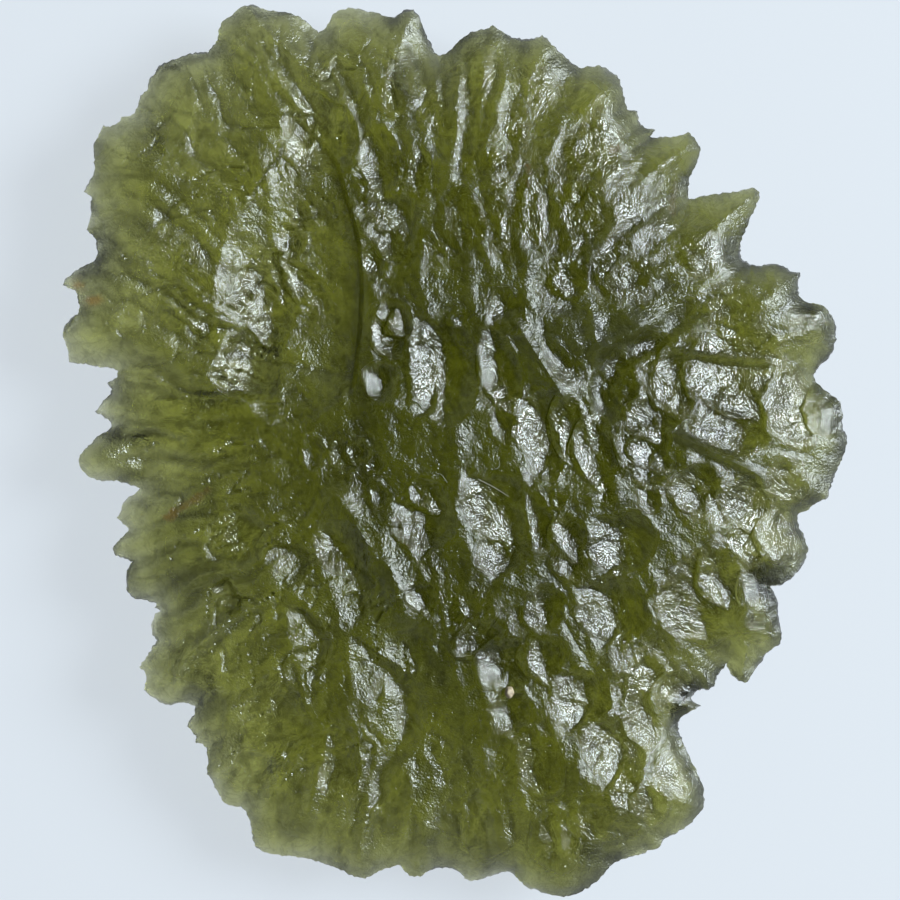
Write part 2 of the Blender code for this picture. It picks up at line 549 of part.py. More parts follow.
def crest_rows(rim, spacing):
    """Points along both feet of each hollow's sharp left crest, where no later hollow cuts it."""
    shapes = hollow_shapes()
    step = CREST_PITCH * spacing
    rows = []
    for i, (centre, d, half_long, half_wide, deep) in enumerate(shapes):
        across = np.array([-d[1], d[0]])
        turn = np.linspace(-CREST_TURN, CREST_TURN, 41)
        arc = centre + np.outer(np.sin(turn) * half_long, d)
        arc = arc - np.outer(np.cos(turn) * half_wide, across)
        run = np.concatenate([[0.0], np.cumsum(np.hypot(*np.diff(arc, axis=0).T))])
        count = max(2, int(round(run[-1] / step)) + 1)
        at = np.interp(np.linspace(0.0, run[-1], count), run, turn)
        for grow in (CREST_ROWS_APART / 2, -CREST_ROWS_APART / 2):
            wide = half_wide + grow
            tall = half_long + grow
            row = centre + np.outer(np.sin(at) * tall, d) - np.outer(np.cos(at) * wide, across)
            row = row - (wandering(row) - row)
            for other, o_d, o_long, o_wide, o_deep in shapes[i + 1:]:
                r = wandering(row) - other
                u = (r @ o_d) / o_long
                v = (r @ np.array([-o_d[1], o_d[0]])) / o_wide
                row = row[(u * u + v * v > 1.06) | (v > 0.3)]
                if not len(row):
                    break
            rows.append(row)
    return np.vstack(rows)


def line_rows(line_px, gap, spacing):
    """Points in two rows, a little to either side of a bent line."""
    line = plane(line_px)
    out = []
    for a, b in zip(line[:-1], line[1:]):
        d = b - a
        length = math.hypot(d[0], d[1])
        across = np.array([-d[1], d[0]]) / length
        steps = max(1, int(round(length / spacing)))
        for k in range(steps):
            at = a + d * (k / steps)
            out += [at + across * gap / 2, at - across * gap / 2]
    return np.array(out)


def crested_points(rim, spacing):
    """Points for the face: rows on its crests, ledge and fins first, then an even spread."""
    lines = [line_rows(LEDGE_PX, LEDGE_WALL_PX * PX, 0.8 * spacing)]
    for ax, ay, bx, by, half, tall in FINS_PX:
        lines.append(line_rows([(ax, ay), (bx, by)], 0.0, 0.8 * spacing)[::2])
    lines.append(crest_rows(rim, spacing))
    rows = np.vstack(lines)
    rows = rows[inside_rim(rows, rim)]
    rows = rows[rim_distance(rows, rim) > 0.42 * spacing]
    spread = hexagonal_points(rim, spacing)
    p = np.vstack([rows, spread])
    kept = []
    cells = {}
    size = NEAR_IN_SPREAD * spacing
    for i in range(len(p)):
        # Rows may stand close to each other; the even spread keeps well clear of them
        near = NEAR_IN_ROW * spacing if i < len(rows) else size
        key = (int(math.floor(p[i, 0] / size)), int(math.floor(p[i, 1] / size)))
        crowded = False
        for ox in (-1, 0, 1):
            for oy in (-1, 0, 1):
                for j in cells.get((key[0] + ox, key[1] + oy), ()):
                    if math.hypot(p[i, 0] - p[j, 0], p[i, 1] - p[j, 1]) < near:
                        crowded = True
        if not crowded:
            cells.setdefault(key, []).append(i)
            kept.append(i)
    return p[np.array(kept)]
def triangles_of(rim, inner):
    """Triangles over the rim and the inner points, with no edge straight across the rim."""
    points = [Vector((x, y)) for x, y in np.vstack([rim, inner])]
    n = len(rim)
    edges = [(i, (i + 1) % n) for i in range(n)]
    places, _, faces, sources, _, _ = delaunay_2d_cdt(points, edges, [], 0, 1e-9, True)
    index = [s[0] if len(s) else -1 for s in sources]
    tris = np.array([[index[v] for v in f] for f in faces if len(f) == 3])
    tris = tris[(tris >= 0).all(axis=1)]
    flat = np.vstack([rim, inner])
    centre = flat[tris].mean(axis=1)
    tris = tris[inside_rim(centre, rim)]
    u = flat[tris[:, 1]] - flat[tris[:, 0]]
    v = flat[tris[:, 2]] - flat[tris[:, 0]]
    turned = u[:, 0] * v[:, 1] - u[:, 1] * v[:, 0] < 0
    tris[turned] = tris[turned][:, ::-1]
    return split_chords(flat, tris.tolist(), n)


def split_chords(flat, tris, n):
    """Put a new point in the middle of each edge that joins two rim points through the inside."""
    added = {}
    extra = []

    def middle_of(a, b):
        if a >= n or b >= n or (a - b) % n in (1, n - 1):
            return None
        key = (min(a, b), max(a, b))
        if key not in added:
            added[key] = len(flat) + len(extra)
            extra.append((flat[a] + flat[b]) / 2)
        return added[key]

    out = []
    for a, b, c in tris:
        ab = middle_of(a, b)
        bc = middle_of(b, c)
        ca = middle_of(c, a)
        ring = [v for v in (a, ab, b, bc, c, ca) if v is not None]
        if ab is not None and bc is not None and ca is not None:
            out += [(a, ab, ca), (ab, b, bc), (bc, c, ca), (ab, bc, ca)]
            continue
        mids = [v for v in (ab, bc, ca) if v is not None]
        if not mids:
            out.append((a, b, c))
            continue
        start = ring.index(mids[0])
        ring = ring[start:] + ring[:start]
        for k in range(1, len(ring) - 1):
            out.append((ring[0], ring[k], ring[k + 1]))
    points = np.vstack([flat, np.array(extra)]) if extra else flat
    return points[n:], out


def stone_mesh():
    """Corner places and triangles of the whole stone, before its flat spot is cut."""
    rim = plane(RIM_PX)
    n = len(rim)
    no_edge = np.zeros(n)
    rim_z = middle(rim, no_edge)
    face_points, face_tris = triangles_of(rim, crested_points(rim, FACE_SPACING))
    back_points, back_tris = triangles_of(rim, hexagonal_points(rim, BACK_SPACING))
    face_edge = rim_distance(face_points, rim)
    back_edge = rim_distance(back_points, rim)
    face_z = middle(face_points, face_edge) + face_height(face_points, face_edge)
    back_z = middle(back_points, back_edge) - back_height(back_points, back_edge)
    corners = np.vstack([
        np.column_stack([rim, rim_z + face_height(rim, no_edge)]),
        np.column_stack([rim, rim_z - back_height(rim, no_edge)]),
        np.column_stack([face_points, face_z]),
        np.column_stack([back_points, back_z]),
    ])
    faces = []
    for face in face_tris:
        faces.append(tuple(int(v) if v < n else int(v) + n for v in face))
    shift = n + len(face_points)
    for a, b, c in back_tris:
        faces.append(tuple(int(v) + n if v < n else int(v) + shift for v in (c, b, a)))
    # The blunt rim stands upright between the face and the back
    for i in range(n):
        after = (i + 1) % n
        faces.append((n + i, n + after, after))
        faces.append((n + i, after, i))
    corners[:, 2] -= corners[:, 2].min() + FLAT_SPOT_CUT
    # No corner is left close to the plane of the flat spot, so that the cut makes no slivers
    near = np.abs(corners[:, 2]) < CUT_CLEARANCE
    corners[near, 2] = np.where(corners[near, 2] > 0.0, CUT_CLEARANCE, -CUT_CLEARANCE)
    return corners, faces


def plain_material(name, colour, roughness):
    """A plain surface of one colour."""
    material = bpy.data.materials.new(name)
    material.use_nodes = True
    shader = material.node_tree.nodes["Principled BSDF"]
    shader.inputs["Base Color"].default_value = colour
    shader.inputs["Roughness"].default_value = roughness
    shader.inputs["Metallic"].default_value = 0.0
    return material


def mesh_object(name, corners, faces):
    """A new mesh object in the scene."""
    mesh = bpy.data.meshes.new(name)
    mesh.from_pydata([tuple(c) for c in corners], [], faces)
    mesh.update()
    thing = bpy.data.objects.new(name, mesh)
    bpy.context.scene.collection.objects.link(thing)
    return thing


def build():
    for thing in list(bpy.data.objects):
        bpy.data.objects.remove(thing)
    corners, faces = stone_mesh()
    stone = mesh_object("moldavite", corners, faces)
    stone.data.materials.append(plain_material("moldavite", GLASS_GREEN, GLASS_ROUGHNESS))

    # A block below the floor takes off the lowest part of the back, which leaves the flat spot
    half = STONE_HEIGHT
    low = -0.2 * STONE_HEIGHT
    block = [(x, y, z) for z in (low, 0.0) for x, y in (
        (-half, -half), (half, -half), (half, half), (-half, half))]
    sides = [(3, 2, 1, 0), (4, 5, 6, 7), (0, 1, 5, 4), (1, 2, 6, 5), (2, 3, 7, 6), (3, 0, 4, 7)]
    cutter = mesh_object("floor_cutter", block, sides)
    cutter.hide_render = True
    cutter.display_type = "WIRE"
    cut = stone.modifiers.new("flat_spot", "BOOLEAN")
    cut.operation = "DIFFERENCE"
    cut.solver = "EXACT"
    cut.object = cutter


build()
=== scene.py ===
"""The moldavite: a spiny piece of natural green glass lying on a pale, softly lit floor."""
import itertools
import math

import bmesh
import bpy
import numpy as np
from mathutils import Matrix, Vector, kdtree
from mathutils.geometry import delaunay_2d_cdt


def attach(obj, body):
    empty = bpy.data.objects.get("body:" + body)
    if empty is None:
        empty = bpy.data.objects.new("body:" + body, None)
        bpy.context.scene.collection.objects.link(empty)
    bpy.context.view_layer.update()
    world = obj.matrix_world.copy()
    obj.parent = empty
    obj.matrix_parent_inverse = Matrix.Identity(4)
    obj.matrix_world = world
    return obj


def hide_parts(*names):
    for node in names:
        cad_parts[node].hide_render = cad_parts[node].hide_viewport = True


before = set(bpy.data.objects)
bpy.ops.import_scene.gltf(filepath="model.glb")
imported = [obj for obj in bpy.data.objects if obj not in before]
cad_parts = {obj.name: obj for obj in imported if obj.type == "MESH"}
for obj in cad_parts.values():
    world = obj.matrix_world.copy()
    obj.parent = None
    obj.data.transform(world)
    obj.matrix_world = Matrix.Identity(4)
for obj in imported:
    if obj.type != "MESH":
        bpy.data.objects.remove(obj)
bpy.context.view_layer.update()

# Driving dimensions, and how far apart the mesh's corners are
MM = 0.001
STONE_HEIGHT = 42.8 * MM
FACE_SPACING = 0.138 * MM
BACK_SPACING = 0.29 * MM
FACE_SKIRT = 3.0 * MM
FACE_DOME = 1.0 * MM
BACK_SKIRT = 2.3 * MM
BACK_DOME = 1.8 * MM
FLAT_SPOT_CUT = 0.62 * MM
FLAT_SPOT_RADIUS = 5.0 * MM
RIM_WAVE = 1.1 * MM
EDGE_SOFTNESS = 2.4 * MM
EDGE_BLUNTNESS = 0.25
SEED = 417

# The outline was read off a picture, in its pixels, and is scaled to the real height
OUTLINE_TALL_PX = 892.0
CENTRE_X_PX = 456.0
CENTRE_Y_PX = 452.0
PX = STONE_HEIGHT / OUTLINE_TALL_PX

# Rim points in picture pixels, from the top down the left side, along the bottom and up the right
RIM_PX = [
    (318, 32), (310, 25), (300, 17), (290, 13), (278, 11), (265, 9), (250, 6), (240, 8), (232, 15),
    (222, 21), (218, 31), (218, 40), (213, 48), (209, 54), (198, 55), (190, 54), (180, 58), (172, 60),
    (160, 67), (152, 77), (148, 88), (140, 95), (137, 107), (134, 113), (128, 116), (121, 117), (118, 123),
    (110, 127), (103, 125), (101, 130), (97, 139), (95, 152), (96, 165), (95, 175), (90, 184), (85, 191),
    (92, 196), (91, 210), (90, 222), (88, 230), (94, 234), (99, 241), (100, 252), (97, 260), (88, 265),
    (77, 271), (70, 279), (67, 285), (73, 288), (78, 293), (80, 301), (81, 308), (79, 315), (72, 322),
    (66, 330), (64, 336), (67, 344), (69, 352), (69, 361), (80, 363), (92, 365), (104, 367), (113, 368),
    (118, 371), (117, 378), (109, 383), (114, 389), (110, 397), (104, 402), (97, 411), (104, 414),
    (110, 420), (112, 427), (105, 435), (97, 441), (88, 449), (80, 455), (79, 462), (82, 470), (88, 476),
    (96, 479), (106, 480), (118, 481), (130, 485), (140, 488), (133, 495), (126, 500), (121, 506),
    (120, 513), (116, 518), (122, 524), (128, 529), (124, 535), (117, 542), (113, 549), (116, 555),
    (125, 557), (135, 560), (132, 567), (129, 574), (128, 583), (128, 592), (135, 598), (146, 600),
    (156, 603), (155, 607), (162, 611), (155, 618), (153, 626), (155, 634), (160, 641), (152, 649),
    (146, 657), (139, 667), (145, 673), (146, 682), (145, 690), (150, 695), (158, 699), (165, 703),
    (170, 704), (176, 702), (188, 703), (195, 706), (195, 713), (192, 720), (188, 727), (193, 732),
    (197, 738), (196, 743), (203, 744), (207, 750), (208, 758), (207, 767), (207, 775), (213, 781),
    (214, 789), (218, 797), (223, 804), (231, 807), (240, 808), (246, 813), (249, 821), (252, 832),
    (255, 842), (257, 849), (264, 854), (274, 856), (286, 857), (300, 859), (313, 862), (325, 866),
    (338, 870), (346, 874), (354, 878), (365, 880), (374, 875), (384, 870), (392, 868), (398, 866),
    (403, 871), (409, 877), (420, 878), (427, 873), (435, 868), (445, 867), (455, 870), (462, 875),
    (465, 881), (472, 883), (480, 881), (490, 877), (500, 873), (510, 872), (516, 875), (521, 881),
    (528, 886), (540, 890), (550, 895), (564, 898), (578, 894), (590, 887), (600, 878), (606, 870),
    (614, 862), (623, 858), (638, 855), (650, 850), (659, 847), (662, 839), (672, 833), (684, 829),
    (693, 823), (697, 816), (703, 810), (705, 800), (704, 788), (700, 778), (695, 767), (690, 757),
    (684, 745), (679, 735), (676, 728), (679, 721), (685, 715), (693, 710), (701, 706), (693, 703),
    (690, 698), (696, 691), (702, 688), (709, 689), (714, 686), (716, 679), (720, 672), (725, 666),
    (729, 662), (731, 669), (734, 676), (739, 681), (745, 683), (750, 679), (754, 672), (758, 664),
    (763, 657), (770, 650), (778, 645), (781, 639), (779, 631), (777, 622), (776, 612), (775, 601),
    (772, 593), (769, 586), (783, 583), (792, 577), (800, 567), (806, 557), (809, 549), (806, 540),
    (801, 530), (798, 521), (799, 514), (807, 511), (813, 505), (821, 500), (827, 497), (829, 488),
    (832, 478), (838, 469), (843, 460), (846, 451), (848, 443), (846, 437), (842, 431), (842, 423),
    (843, 413), (841, 404), (837, 398), (830, 393), (823, 388), (817, 382), (815, 376), (817, 369),
    (822, 362), (829, 356), (834, 349), (836, 339), (835, 327), (831, 316), (824, 307), (815, 304),
    (806, 302), (800, 298), (796, 291), (796, 282), (798, 274), (790, 274), (783, 268), (778, 265),
    (768, 266), (757, 267), (748, 265), (741, 261), (738, 254), (740, 245), (744, 234), (749, 222),
    (754, 210), (759, 199), (760, 192), (755, 188), (744, 190), (729, 192), (712, 194), (698, 197),
    (690, 198), (689, 190), (690, 180), (693, 172), (697, 163), (700, 154), (701, 146), (696, 138),
    (689, 131), (682, 134), (670, 136), (656, 137), (650, 135), (655, 129), (645, 127), (637, 120),
    (636, 111), (627, 109), (625, 100), (623, 90), (620, 79), (611, 73), (600, 65), (590, 66), (579, 67),
    (572, 64), (564, 56), (556, 50), (550, 43), (542, 36), (535, 40), (524, 41), (514, 39), (507, 35),
    (500, 30), (493, 25), (487, 28), (479, 30), (470, 32), (462, 39), (454, 47), (446, 54), (440, 56),
    (434, 52), (431, 46), (427, 35), (422, 25), (418, 16), (413, 11), (407, 12), (400, 15), (394, 18),
    (384, 15), (375, 11), (362, 9), (350, 7), (340, 8), (333, 12), (329, 21), (324, 28),
]

# Hollows of the face, each by the crest line on its left side: the line's upper end x, y and
# its lower end x, y, then how wide the hollow is to the right of that line, all in picture
# pixels, and last how steep its walls are, as a share of the usual
HOLLOWS_PX = [
    # Top
    (370, 88, 374, 120, 30, 0.8), (412, 96, 421, 122, 28, 0.8), (426, 120, 432, 144, 26, 0.8),
    (493, 108, 498, 148, 30, 0.8), (448, 160, 456, 184, 26, 0.8), (470, 158, 480, 184, 30, 0.8),
    (350, 132, 357, 208, 44, 0.8), (357, 213, 402, 244, 34, 0.9), (362, 243, 394, 276, 36, 0.9),
    (357, 253, 363, 286, 26, 0.9), (405, 244, 442, 272, 30, 0.8), (425, 200, 440, 258, 50, 0.9),
    (474, 188, 492, 270, 38, 0.8), (550, 133, 562, 186, 62, 0.8), (500, 178, 508, 250, 40, 0.8),
    (540, 190, 552, 246, 60, 0.6), (584, 250, 592, 304, 44, 0.8), (548, 244, 568, 268, 30, 0.8),
    (268, 116, 304, 188, 66, 0.7), (310, 60, 322, 112, 44, 0.6), (388, 30, 396, 84, 34, 0.25),
    (455, 60, 462, 112, 34, 0.6), (512, 56, 520, 120, 34, 0.4), (560, 76, 566, 128, 46, 0.25),
    (392, 148, 400, 208, 34, 0.7), (330, 20, 336, 60, 34, 0.3), (590, 186, 606, 240, 46, 0.35),
    # Centre
    (381, 320, 391, 346, 26, 0.9), (402, 318, 405, 420, 66, 1.0), (437, 316, 449, 334, 24, 0.8),
    (476, 306, 501, 346, 38, 0.9), (465, 338, 483, 412, 42, 1.0), (480, 412, 487, 450, 30, 0.9),
    (503, 398, 518, 480, 54, 1.0), (524, 345, 556, 398, 30, 0.7), (563, 420, 570, 488, 46, 0.9),
    (577, 518, 585, 574, 64, 1.0), (617, 392, 624, 442, 54, 0.8), (620, 440, 624, 462, 44, 0.8),
    (617, 472, 640, 502, 34, 0.9), (640, 460, 656, 484, 26, 0.8), (585, 472, 588, 508, 26, 0.8),
    (662, 472, 668, 520, 50, 0.9), (620, 500, 650, 524, 30, 0.8), (686, 554, 700, 610, 40, 0.9),
    (695, 513, 716, 534, 30, 0.8), (358, 366, 362, 404, 36, 0.9), (537, 274, 550, 306, 44, 0.9),
    (366, 300, 370, 366, 42, 0.9), (596, 350, 600, 420, 34, 0.9), (644, 350, 650, 420, 44, 0.8),
    (540, 396, 552, 470, 34, 0.9), (608, 420, 612, 470, 30, 0.8), (620, 340, 640, 384, 40, 0.8),
    # Below the centre
    (384, 508, 402, 560, 54, 1.0), (400, 484, 418, 522, 34, 0.9), (360, 492, 376, 514, 26, 0.8),
    (358, 460, 366, 482, 26, 0.8), (340, 450, 356, 472, 26, 0.8), (457, 478, 462, 536, 58, 1.0),
    (464, 536, 480, 580, 56, 1.0), (503, 500, 522, 556, 40, 0.9), (541, 516, 553, 564, 34, 0.9),
    (538, 560, 566, 594, 34, 0.9), (510, 596, 522, 634, 46, 0.9), (564, 592, 586, 652, 66, 1.0),
    (542, 496, 554, 514, 22, 0.8), (446, 626, 453, 660, 50, 0.9), (462, 656, 482, 702, 60, 1.0),
    (478, 700, 488, 738, 48, 0.9), (541, 676, 551, 732, 56, 0.9), (574, 722, 592, 790, 56, 1.0),
    (600, 764, 608, 816, 38, 0.9), (622, 786, 632, 826, 36, 0.9), (617, 656, 619, 744, 44, 1.0),
    (395, 588, 410, 620, 34, 0.8), (640, 574, 652, 640, 92, 0.7), (430, 600, 446, 640, 30, 0.7),
    (510, 640, 524, 690, 44, 0.8), (500, 734, 512, 800, 50, 0.7),
    # Bottom and lower left
    (392, 700, 398, 740, 26, 0.8), (430, 806, 440, 840, 30, 0.5), (200, 520, 222, 576, 58, 0.6),
    (212, 582, 220, 616, 22, 2.4), (236, 690, 252, 760, 60, 0.6), (300, 720, 312, 800, 50, 0.6),
    (450, 800, 458, 860, 44, 0.5), (520, 812, 530, 876, 50, 0.6), (560, 806, 570, 846, 40, 0.8),
    (160, 640, 176, 690, 50, 0.6), (218, 768, 240, 800, 44, 0.6), (320, 440, 334, 480, 30, 0.8),
    (290, 440, 300, 476, 30, 0.7), (300, 540, 330, 586, 50, 0.8),
    # Right
    (712, 482, 720, 532, 48, 0.9), (715, 530, 730, 570, 44, 0.9), (729, 566, 738, 616, 34, 0.9),
    (746, 516, 760, 572, 48, 0.8), (754, 376, 764, 452, 56, 0.9), (694, 280, 690, 330, 60, 0.4),
    (645, 204, 656, 238, 32, 0.8), (670, 222, 682, 262, 36, 0.8), (664, 254, 692, 290, 44, 0.8),
    (600, 262, 612, 310, 40, 0.7), (676, 366, 684, 398, 90, 0.6), (684, 402, 690, 452, 76, 1.0),
    (770, 300, 778, 350, 56, 0.35), (800, 386, 806, 440, 40, 0.7), (722, 200, 728, 250, 30, 0.5),
    (612, 130, 620, 180, 60, 0.2), (730, 616, 742, 652, 36, 0.7), (645, 676, 654, 720, 44, 0.7),
    (648, 736, 656, 800, 44, 0.7), (752, 470, 770, 512, 44, 0.7),
    # Left
    (284, 204, 292, 236, 24, 0.9), (268, 230, 276, 264, 32, 0.9), (230, 258, 236, 344, 56, 0.9),
    (208, 342, 222, 406, 60, 0.9), (270, 272, 318, 324, 30, 0.7), (188, 322, 191, 344, 34, 0.7),
    (150, 120, 170, 200, 60, 0.1), (120, 230, 140, 320, 60, 0.1), (190, 130, 206, 220, 60, 0.1),
    (120, 390, 130, 460, 70, 0.12), (180, 410, 192, 480, 60, 0.2), (222, 80, 240, 130, 50, 0.15),
    (176, 240, 186, 310, 50, 0.1),
]
HOLLOW_DEPTH_PER_WIDTH = 0.29
# A hollow's oval: its half width and half length as shares of the listed ones, and as shares of its
# half width the least half length and how far its middle lies to the right of the crest line
HOLLOW_HALF = 0.62
HOLLOW_LEAST_LENGTH = 0.9
HOLLOW_SHIFT = 0.95
# Hollows on the left are steeper by this share. Those nearer the upper right cut the others
STEEPER_LEFT = 0.6
STEEPER_LEFT_OF_PX = 450.0
STEEPER_OVER_PX = 180.0
CUT_ORDER = (0.93, 0.37)
CREST_WALL = 0.09 * MM
LEFT_WALL_BEND = 1.12
# How far the crests wander, and over what length
WANDER = 0.16 * MM
WANDER_PITCH = 0.95 * MM

# The wide smooth bowl left of the middle, the long furrow that runs down to the lower rim, and
# the narrow bent channel right of the middle
BOWL_PX = (292, 306)
BOWL_HALF_WIDE_PX = 76.0
BOWL_HALF_TALL_PX = 122.0
BOWL_DEPTH = 1.15 * MM
FURROW_PX = [(402, 600), (420, 670), (436, 745), (456, 812), (472, 880)]
FURROW_HALF_WIDE_PX = 36.0
FURROW_DEPTH = 0.46 * MM
CHANNEL_PX = [(704, 300), (655, 336), (610, 362), (600, 392), (610, 428)]
CHANNEL_HALF_WIDE_PX = 15.0
CHANNEL_DEPTH = 0.55 * MM

# The steep ledge on the bowl's right side, and how far and how deep the face drops left of it
LEDGE_PX = [
    (276, 112), (300, 120), (322, 140), (340, 165), (350, 200), (356, 220), (362, 245),
    (365, 290), (363, 330), (358, 380), (352, 402),
]
LEDGE_DROP = 0.95 * MM
LEDGE_WALL_PX = 5.0
LEDGE_REACH_PX = 70.0

# The thin flange on the left
FLANGE_DROP = 0.5 * MM
FLANGE_START_PX = 330.0
FLANGE_WIDE_PX = 200.0

# Thin raised fins, each by its two ends and its half width in picture pixels, and its rise in
# millimetres
FINS_PX = [
    (668, 353, 772, 364, 6.0, 0.36), (668, 432, 756, 474, 6.0, 0.36),
    (566, 404, 508, 312, 24.0, 0.50), (584, 356, 668, 318, 26.0, 0.52),
    (545, 345, 600, 334, 32.0, 0.45), (642, 676, 700, 826, 12.0, 0.35),
]

# Wide facets: the crest's two ends, their width to its right, and their depth in millimetres
RAMPS_PX = [
    (343, 632, 354, 812, 44, 0.98), (277, 606, 298, 690, 38, 0.80), (254, 550, 272, 596, 44, 0.86),
    (304, 552, 346, 632, 36, 0.74), (401, 314, 406, 420, 40, 0.86), (457, 476, 478, 586, 42, 0.90),
    (462, 654, 482, 706, 40, 0.86), (541, 674, 553, 734, 42, 0.90), (503, 398, 522, 482, 30, 0.66),
    (574, 720, 594, 792, 38, 0.84), (564, 590, 588, 654, 42, 0.90), (577, 516, 586, 578, 38, 0.82),
    (384, 504, 410, 566, 34, 0.74), (357, 214, 398, 262, 34, 0.74),
]
# Over what lengths the facets' width varies, down and across
RAMP_WAVER_DOWN = 1.3 * MM
RAMP_WAVER_ACROSS = 3.0 * MM
# The soft ridge beside them
RIDGE_PX = [(318, 486), (345, 512), (374, 548), (399, 592), (410, 640)]
RIDGE_HALF_WIDE_PX = 17.0
RIDGE_RISE = 0.34 * MM

# Low swellings near the rim: their middle, half width and half height in picture pixels, and
# how far they rise in millimetres
SHOULDERS_PX = [(622, 160, 52, 80, 0.45)]

# Where the stone is thick, on the face and on the back: the middle, half width and half height in
# picture pixels
FACE_THICK_PX = (565.0, 436.0, 340.0, 450.0)
BACK_THICK_PX = (550.0, 442.0, 315.0, 400.0)
DOME_SQUARENESS = 1.6
# The middle of the flat spot underneath
FLAT_PX = (490.0, 442.0)

# Hollows slant this way near the hub, and turn to point at it farther out
HUB_PX = (470.0, 400.0)
MIDDLE_SLANT = -1.08
RADIAL_FROM = 7.0 * MM
RADIAL_OVER = 9.0 * MM

# Ribs that run in from the rim, with their spacing at the rim's usual distance from the hub, and
# the smaller hollows scattered over both faces
RIM_RADIUS = 18.0 * MM
RIB_RISE = 0.55 * MM
RIB_PITCH = 1.35 * MM
RIB_BEND = 2.6 * MM
RIB_LENGTH = 7.0 * MM
RIB_SHORT_LENGTH = 4.0 * MM
RIB_REACH = 5.0 * MM
MID_CELL = 1.75 * MM
MID_DEPTH = 0.30 * MM
MID_HELD_BACK = 0.9
MID_COVERED_AT = 0.18 * MM
MID_FLANGE_SHARE = 0.6
BACK_CELL = 3.4 * MM
BACK_DEPTH = 1.25 * MM
BACK_MID_CELL = 1.7 * MM
BACK_MID_DEPTH = 0.45 * MM

# One of the scattered hollows: how much it turns, its size in cells at least and how much more at
# most, and its half length and half width as shares of its size
POCK_TURN = 0.7
POCK_LEAST = 0.62
POCK_RANGE = 0.5
POCK_LONG = 1.15
POCK_WIDE = 0.80

# The surface midway between face and back: the sizes of its waves and how far in from the rim they
# reach, and how the left is lifted
WAVE_PITCH = 9.0 * MM
SMALL_WAVE_PITCH = 2.4 * MM
WAVE_REACH = 4.0 * MM
SMALL_WAVE_REACH = 2.5 * MM
LIFT_LEFT = 0.9 * MM
LIFT_FROM = 5.0 * MM
LIFT_OVER = 14.0 * MM

# The face is calmer at the top and upper right: where that region begins, how softly, and by what share
CALM_LEFT_PX = 350.0
CALM_BELOW_PX = 345.0
CALM_BLEND_PX = 110.0
CALMING = 0.55

# The upper right stays high until close to the rim
LIP_LEFT_PX = 540.0
LIP_BELOW_PX = 350.0
LIP_BLEND_PX = 60.0
LIP_RISE = 0.50 * MM
LIP_REACH = 1.0 * MM

# Rows of mesh corners along the crests, and how clear the other corners stay of them and the rim
CREST_TURN = 1.45
CREST_PITCH = 0.11 * MM
ROW_CLEARANCE = 0.045 * MM
SPREAD_CLEARANCE = 0.60
RIM_CLEARANCE = 0.42
RIM_MARK = 0.06 * MM

# Finer shape than the plain solid holds: the rim, then pits, grain, scratches and hairlines
RIM_STEP = 0.125 * MM
RIM_CHIP = 0.085 * MM
RIM_ROWS = 5
RIM_BULGE = 0.10 * MM
RIM_BULGE_LENGTH = 1.3 * MM
RIM_CRUMB = 0.045 * MM
RIM_CRUMB_CELL = 0.30 * MM
NICK_DEPTH = 0.28 * MM
NICK_REACH = 0.60 * MM
NICK_LENGTH = 1.5 * MM
FINE_CELL = 0.80 * MM
FACE_FINE_DEPTH = 0.055 * MM
BACK_FINE_DEPTH = 0.20 * MM
GRAIN_CELL = 0.42 * MM
GRAIN_DEPTH = 0.045 * MM
STRIA_PITCH = 0.17 * MM
STRIA_LENGTH = 1.6 * MM
STRIA_DEPTH = 0.016 * MM
FROST_REACH = 0.40 * MM
HAIRLINE_PITCH = 0.85 * MM
HAIRLINE_LENGTH = 2.6 * MM
HAIRLINE_DEPTH = 0.24 * MM
HAIRLINE_BEND = 1.9 * MM
HAIRLINE_BREAK = 1.3 * MM
HAIRLINE_FROM = 7.5 * MM
HAIRLINE_OVER = 4.0 * MM
HAIRLINE_LEFT_OVER = 9.0 * MM
# Edges that turn more than this are sharp
CREASE_ANGLE = math.radians(32.0)

# Glass
GLASS_IOR = 1.49
ABSORPTION_COLOUR = (0.65, 0.66, 0.13)
ABSORPTION_DENSITY = 1040.0
# How dark the fibrous marks are, how much painted shade darkens the creases and the broad hollows, what a
# full crease or hollow measures, and over how many rounds of evening out it is found
FLOW_DARKENING = 0.33
CREASE_PAINTED_SHADE = 0.55
CREASE_MEASURE = 0.012 * MM
CREASE_ROUNDS = 3
HOLLOW_PAINTED_SHADE = 0.32
HOLLOW_MEASURE = 0.10 * MM
HOLLOW_ROUNDS = 36
SHADE_STOPS = [(0.0, (0.05, 0.05, 0.04)), (0.5, (0.50, 0.50, 0.47)), (1.0, (1.0, 1.0, 1.0))]
# Painted light: by what share the skin is painted lighter along the soft ridge
RIDGE_PAINTED_LIGHT = 0.25
# Fine dark lines of painted shade, as of wrinkles, and two sizes of bumps in the shading, each by its
# noise scale
WRINKLE_SCALE = 1100.0
WRINKLE_SHADE_STOPS = [(0.40, (1.0, 1.0, 1.0)), (0.47, (0.66, 0.66, 0.66)), (0.54, (1.0, 1.0, 1.0))]
FORM_SCALE = 1500.0
FORM_BUMP = 0.11 * MM
GRAIN_SCALE = 9000.0
GRAIN_BUMP = 0.05 * MM
# Duskier places: middle, half width and half height in picture pixels, and by what share
DUSKY_PX = [(200, 590, 48, 42, 0.30), (660, 262, 60, 60, 0.22), (600, 250, 40, 60, 0.15)]
# How rough the skin is, by how much that varies, and what the rim and worn ground add
SKIN_ROUGHNESS = 0.11
SKIN_UNEVENNESS = 0.05
SKIN_LEAST = 0.04
SKIN_PITCH = 1.6 * MM
RIM_FROST = 0.30
WORN_FROST = 0.16
WORN_DEPTH = 0.30 * MM
WORN_RISE = 0.9 * MM

